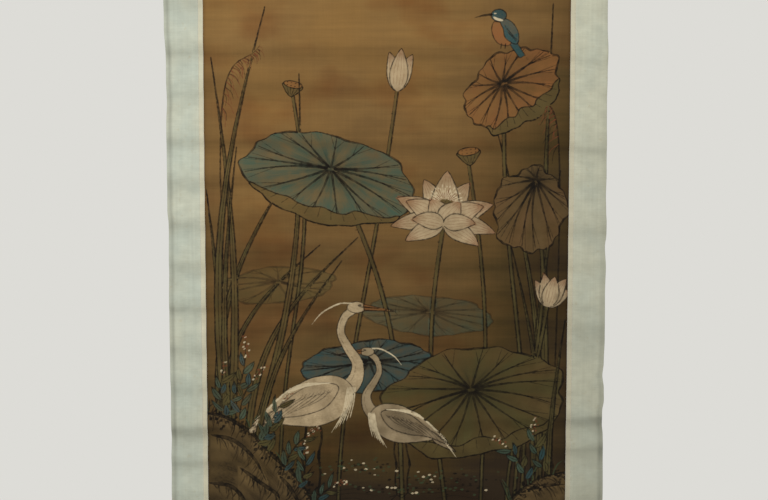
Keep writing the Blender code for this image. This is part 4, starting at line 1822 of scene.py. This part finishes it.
@dataclass
class Picture:
    """The painted panel, on a grid fine enough to hold its drawing."""

    hanging: Hanging
    pitch: float = 0.00225
    plain_pitch: float = 0.0046
    coarse: int = 6
    fine_from: float = 0.567  # the drops between which the grid is fine
    fine_to: float = 1.327
    bands: tuple[Band, ...] = tuple(Band(*row) for row in (
        (0.620, 0.04, 0.014), (0.700, -0.05, 0.014), (0.730, 0.04, 0.009), (0.786, -0.03, 0.009),
        (0.852, 0.04, 0.014), (0.880, -0.03, 0.010), (0.910, 0.05, 0.010), (0.942, -0.05, 0.012),
        (0.972, 0.04, 0.010), (0.996, -0.05, 0.009), (1.022, 0.06, 0.010), (1.037, -0.04, 0.007),
        (1.076, 0.04, 0.009), (1.117, -0.05, 0.011), (1.200, -0.04, 0.014), (1.240, 0.05, 0.010),
    ))
    # Pale ink haze above the two banks and down the right side.
    haze: tuple[Patch, ...] = (
        Patch(-0.16, 1.30, 0.11, 0.09, 0.22),
        Patch(0.16, 1.30, 0.13, 0.12, 0.22),
        Patch(0.02, 1.30, 0.20, 0.06, 0.22),
        Patch(0.24, 0.75, 0.09, 0.17, 0.22),
        Patch(0.23, 0.98, 0.09, 0.20, 0.22),
    )

    def rows(self) -> Array:
        """Where the grid's rows lie: close where the pond is drawn, wider apart above and below it.

        Returns:
            Their drops.
        """
        h = self.hanging
        runs = []
        for start, end, pitch in (
            (h.picture_top, self.fine_from, self.plain_pitch),
            (self.fine_from, self.fine_to, self.pitch),
            (self.fine_to, h.picture_foot, self.plain_pitch),
        ):
            runs.append(start + stations(end - start, pitch, by=self.coarse)[:-1])
        return np.concatenate([*runs, [h.picture_foot]])

    def build(self, silk: Material, paper: Material) -> bpy.types.Object:
        """Makes the panel and paints it.

        Args:
            silk: the front's finish.
            paper: the back's finish.

        Returns:
            The panel.
        """
        h = self.hanging
        columns = stations(h.picture_width, self.pitch, by=self.coarse) - h.picture_width / 2
        x, drop = np.meshgrid(columns, self.rows())
        y = -h.forward(x, drop)
        no_turns = np.zeros(x.shape, bool)
        grid = ClothGrid(x, drop, y - SINGLE, y + SINGLE, self.toning(x, drop), no_turns, self.coarse)
        piece = grid.piece("painted_silk", silk, paper)
        middle = (h.picture_top + h.picture_foot) / 2
        canvas = Canvas(columns / MM, (middle - drop[:, 0]) / MM)
        for motif in pond():
            motif.paint_on(canvas)
        canvas.store(piece.data)
        return piece

    def toning(self, x: Array, drop: Array) -> Array:
        """How light the bare silk is, and in the third number how dark its creases and edges are.

        It darkens down the drop, a little to the right and towards the edges, by a bell for each band along
        the folds, which paints their shade and light as well as banding that the rolled silk keeps, and by
        bells for the haze. Troughs and creases are darkened as painted shade with some dust, and a narrow
        line along each edge is soiled.

        Args:
            x: places across the scroll.
            drop: the same places' drops.

        Returns:
            Three numbers for each place.
        """
        h = self.hanging
        t = np.clip((drop - 0.5) / 0.95, 0, 1)
        level = 0.71 - 0.50 * eased(t) - 0.20 * x
        for band in self.bands:
            tilt = 0.006 * np.sin(9 * x + 40 * band.drop)
            strength = 0.8 + 0.4 * np.sin(13 * x + 70 * band.drop)
            level = level + band.amount * strength * bell((drop - band.drop - tilt) / band.spread)
        for haze in self.haze:
            level = level - haze.over(x, drop)
        side = np.minimum(h.picture_width / 2 - np.abs(x), drop - h.picture_top)
        side = np.minimum(side, h.picture_foot - drop)
        level = level - 0.06 * np.exp(-side / 0.030)
        # painted shade with some dust: the troughs' upper flanks and the creases are drawn darker
        deep = 0.08 * h.dust_and_shade(x, drop)
        sharp = 0.3 * np.clip(h.troughs(x, drop, h.creases) / 0.0003, 0, 1)
        soiled = 0.6 * bell(side / 0.0022) + 0.14 * np.exp(-side / 0.012)
        return np.stack([level, 0 * x, np.clip(deep + sharp + soiled, 0, 1)], -1)


# Broad darker places of the mount; those at the lower right are painted shade, where the light falls off.
DARKER_PATCHES = (
    Patch(-0.29, 0.56, 0.10, 0.12, 0.13),
    Patch(-0.28, 1.195, 0.06, 0.045, 0.19),
    Patch(0.28, 0.92, 0.06, 0.14, 0.15),
    Patch(0.27, 1.055, 0.05, 0.040, 0.26),
    Patch(0.28, 1.166, 0.05, 0.011, 0.13),
    Patch(0.28, 1.187, 0.05, 0.014, 0.05),
    Patch(0.31, 1.200, 0.02, 0.040, 0.18),
    Patch(0.28, 1.26, 0.08, 0.14, 0.38),
)


# The darker line drawn where a hem ends: how far in, and its half width.
SIDE_HEM = (0.0052, 0.0014)
END_HEM = (0.0204, 0.0016)


def hem_mark(inward: Array, hem: float, spread: float) -> Array:
    """How much darker a turned edge is drawn: a bell where its hem ends, and more at the very edge."""
    return bell((inward - hem) / spread) + 0.8 * np.exp(-inward / 0.0012)


@dataclass
class MountCloth:
    """One plain cloth of the mount: a filet, a side border, or the head or foot panel."""

    name: str
    node: str
    hanging: Hanging
    left: Callable[[Array], Array]
    right: Callable[[Array], Array]
    top: float
    foot: float
    turned_sides: tuple[Side, ...] = ()
    turned_top: bool = False
    turned_foot: bool = False
    pitch: float = 0.0035

    @property
    def width(self) -> float:
        """The cloth's width at half its height."""
        middle = np.array((self.top + self.foot) / 2)
        return float(self.right(middle) - self.left(middle))

    def build(self, silk: Material, paper: Material) -> bpy.types.Object:
        """Makes the cloth on its grid.

        Args:
            silk: the front's finish.
            paper: the back's finish.

        Returns:
            The cloth.
        """
        near = TURNED_SIDE if Side.LEFT in self.turned_sides else ()
        far = TURNED_SIDE if Side.RIGHT in self.turned_sides else ()
        above = TURNED_END if self.turned_top else ()
        below = TURNED_END if self.turned_foot else ()
        height, width = self.foot - self.top, self.width
        columns = stations(width, self.pitch, near, far)
        column, row = np.meshgrid(columns, stations(height, self.pitch, above, below))
        drop = self.top + row
        start, end = self.left(drop), self.right(drop)
        # A turned edge keeps its width where the edge strays; the plain cloth takes it up.
        plain = width - turned_in(near) - turned_in(far)
        stretched = np.clip(column - turned_in(near), 0, plain)
        x = start + column + (end - start - width) / plain * stretched
        pairs = ((near, column), (far, width - column), (above, row), (below, height - row))
        front, back = thickness(x.shape, pairs)
        y = -self.hanging.forward(x, drop)
        turned_back = np.zeros(x.shape, bool)
        for steps, inward in pairs:
            if steps:
                turned_back |= inward < turned_in(steps) + MM / 10
        grid = ClothGrid(x, drop, y - front, y + back, self.toning(x, drop, start, end), turned_back)
        return grid.piece(self.name, silk, paper)

    def toning(self, x: Array, drop: Array, start: Array, end: Array) -> Array:
        """How warm the silk is, and how dark it is drawn with dust and painted shade, in the second and third
        number.

        It is warmer to the right and at its edges, darkened in the troughs and creases by painted shade with
        some dust, and darker in broad patches, those at the lower right painted shade where the light falls
        off; a turned edge shows as a thin grey line where its doubled cloth ends, and on the right this line
        grows darker down the drop as painted shade.

        Args:
            x: places across the scroll.
            drop: the same places' drops.
            start: x of the left edge there.
            end: x of the right edge there.

        Returns:
            Three numbers for each place.
        """
        h = self.hanging
        # painted shade with some dust in the troughs' upper flanks and in the creases
        dust_and_shade = 0.16 * h.dust_and_shade(x, drop) ** 1.3
        dust_and_shade = dust_and_shade + 0.3 * np.clip(h.troughs(x, drop, h.creases) / 0.0004, 0, 1)
        for patch in DARKER_PATCHES:
            dust_and_shade = dust_and_shade + patch.over(x, drop)
        warm = 0.5 + 1.1 * x
        # the right edge's line grows darker down the drop: painted shade of the lower right, where the light
        # falls off
        worn = 0.10 + 0.7 * np.clip(drop - 0.75, 0, 0.5)
        for side, gap, strength in ((Side.LEFT, x - start, 0.45), (Side.RIGHT, end - x, worn)):
            warm = warm + 0.25 * np.exp(-gap / 0.006)
            if side in self.turned_sides:
                dust_and_shade = dust_and_shade + strength * hem_mark(gap, *SIDE_HEM)
        for is_turned, gap in ((self.turned_top, drop - self.top), (self.turned_foot, self.foot - drop)):
            if is_turned:
                dust_and_shade = dust_and_shade + 0.40 * hem_mark(gap, *END_HEM)
        return np.stack([0 * x, warm, np.clip(dust_and_shade, 0, 1)], -1)


@dataclass
class Scroll:
    """The whole scroll: its picture, four filets, two borders, and head and foot panels."""

    hanging: Hanging = field(default_factory=Hanging)

    def cloths(self) -> list[MountCloth]:
        """Lists every plain cloth.

        Returns:
            The filets first, then the borders and the two panels.
        """
        h = self.hanging
        above, below = h.picture_top - h.seam, h.picture_foot + h.seam
        top, foot = h.head + h.seam, below + h.filet
        left, right = partial(h.edge, Side.LEFT), partial(h.edge, Side.RIGHT)
        beside, inner, outer = (
            [partial(np.full_like, fill_value=side * x) for side in (-1, 1)]
            for x in (h.picture_width / 2 + h.seam, h.inner, h.inner + h.seam)
        )
        picture_high, border_high = (h.picture_top, h.picture_foot), (top, foot)
        below_all, both = foot + h.seam, tuple(Side)
        return [
            MountCloth("filet_silk_left", "filet_left", h, inner[0], beside[0], *picture_high),
            MountCloth("filet_silk_right", "filet_right", h, beside[1], inner[1], *picture_high),
            MountCloth("filet_silk_top", "filet_top", h, *inner, top, above),
            MountCloth("filet_silk_bottom", "filet_bottom", h, *inner, below, foot),
            MountCloth("border_silk_left", "border_left", h, left, outer[0], *border_high, (Side.LEFT,)),
            MountCloth("border_silk_right", "border_right", h, outer[1], right, *border_high, (Side.RIGHT,)),
            MountCloth("head_silk", "head_panel", h, left, right, 0.0, h.head, both, turned_top=True),
            MountCloth("foot_silk", "foot_panel", h, left, right, below_all, h.total, both, turned_foot=True),
        ]

    def build(self) -> None:
        """Makes and dresses every cloth, hangs it from the root body and hides the model's part that it
        replaces.
        """
        h = self.hanging
        paper = BackingPaper().build()
        cream = MountSilk("cream_filet_silk", "bebca5", "bfb9a1", "7a7767").build()
        celadon = MountSilk("celadon_mounting_silk", "aeb4a6", "bbbba7", "74766a").build()
        picture = Picture(h).build(PaintedSilk().build(), paper)
        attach(picture, "root")
        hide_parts("painted_panel")
        for cloth in self.cloths():
            is_filet = cloth.node.startswith("filet")
            piece = cloth.build(cream if is_filet else celadon, paper)
            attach(piece, "root")
            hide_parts(cloth.node)
            if is_filet:
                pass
            else:
                cloth.width


# ---- the studio


class Lamp(NamedTuple):
    """A square soft light that faces the scroll's middle."""

    name: str
    at: tuple[float, float, float]
    watts: float
    side: float = 1.4
    toward: tuple[float, float, float] = (0, 0, -0.9)

    def build(self) -> None:
        """Adds the light."""
        data = bpy.data.lights.new(self.name, "AREA")
        data.energy, data.size = self.watts, self.side
        lamp = stand(self.name, data)
        lamp.location = self.at
        across, away, up = np.array(self.toward) - self.at
        lamp.rotation_euler = (math.atan2(math.hypot(across, away), -up), 0, math.atan2(-across, away))


@dataclass(frozen=True)
class Studio:
    """A plain pale floor, soft lights, pale air behind, and the camera."""

    eye_drop: float = 0.93  # the camera looks at this drop
    eye_across: float = -0.0038
    aim: float = -0.005  # how far in front of the hanging plane it looks
    away: float = 1.6
    pitch: float = 4.05
    lens: float = 54.45
    sensor: float = 36.0
    floor: float = -2.35
    floor_ends: tuple[Place, ...] = ((-4, -6), (4, -6), (4, 2.4), (-4, 2.4))
    air: str = "dddcd7"
    fill: float = 0.62  # how much of the air's brightness falls on the scroll
    lamps: tuple[Lamp, ...] = (
        Lamp("key_light", (-1.1, -2.0, 1.2), 92.0),
        Lamp("light_behind", (0.9, 2.0, 0.6), 40.0),
    )

    def build(self) -> None:
        """Sets up the background, floor, lights and camera."""
        scene = bpy.context.scene
        scene.view_settings.view_transform = "Standard"
        scene.world = self.background()
        self.ground()
        for lamp in self.lamps:
            lamp.build()
        camera = bpy.data.cameras.new("camera")
        camera.lens, camera.sensor_width = self.lens, self.sensor
        eye = stand("camera", camera)
        a = math.radians(self.pitch)
        eye.location = (
            self.eye_across, self.aim - self.away * math.cos(a), self.away * math.sin(a) - self.eye_drop
        )
        eye.rotation_euler = (math.radians(90 - self.pitch), 0, 0)
        scene.camera = eye

    def background(self) -> bpy.types.World:
        """Pale air, dimmer as a light than it looks.

        Returns:
            The world.
        """
        world = bpy.data.worlds.new("studio_air")
        world.use_nodes = True
        tree = world.node_tree
        seen = put(tree, "LightPath")["Is Camera Ray"]
        glow = put(tree, "MapRange", (seen, 0.0, 1.0, self.fill, 1.0))[0]
        tree.nodes["Background"].inputs["Color"].default_value = linear(self.air)
        tree.links.new(glow, tree.nodes["Background"].inputs["Strength"])
        return world

    def ground(self) -> None:
        """Lays the floor."""
        mesh = bpy.data.meshes.new("studio_floor")
        ring = [(x, y, self.floor) for x, y in self.floor_ends]
        mesh.from_pydata(ring, [], [(0, 1, 2, 3)])
        made, _, shader = bare("pale_floor")
        shader.inputs["Base Color"].default_value = linear("cfcdc8")
        shader.inputs["Roughness"].default_value = 0.9
        mesh.materials.append(made)
        floor = stand("studio_floor", mesh)


def main() -> None:
    """Builds the scroll and the studio."""
    logging.basicConfig(level=logging.INFO, format="%(name)s: %(message)s")
    Scroll().build()
    Studio().build()


if __name__ == "__main__":
    main()
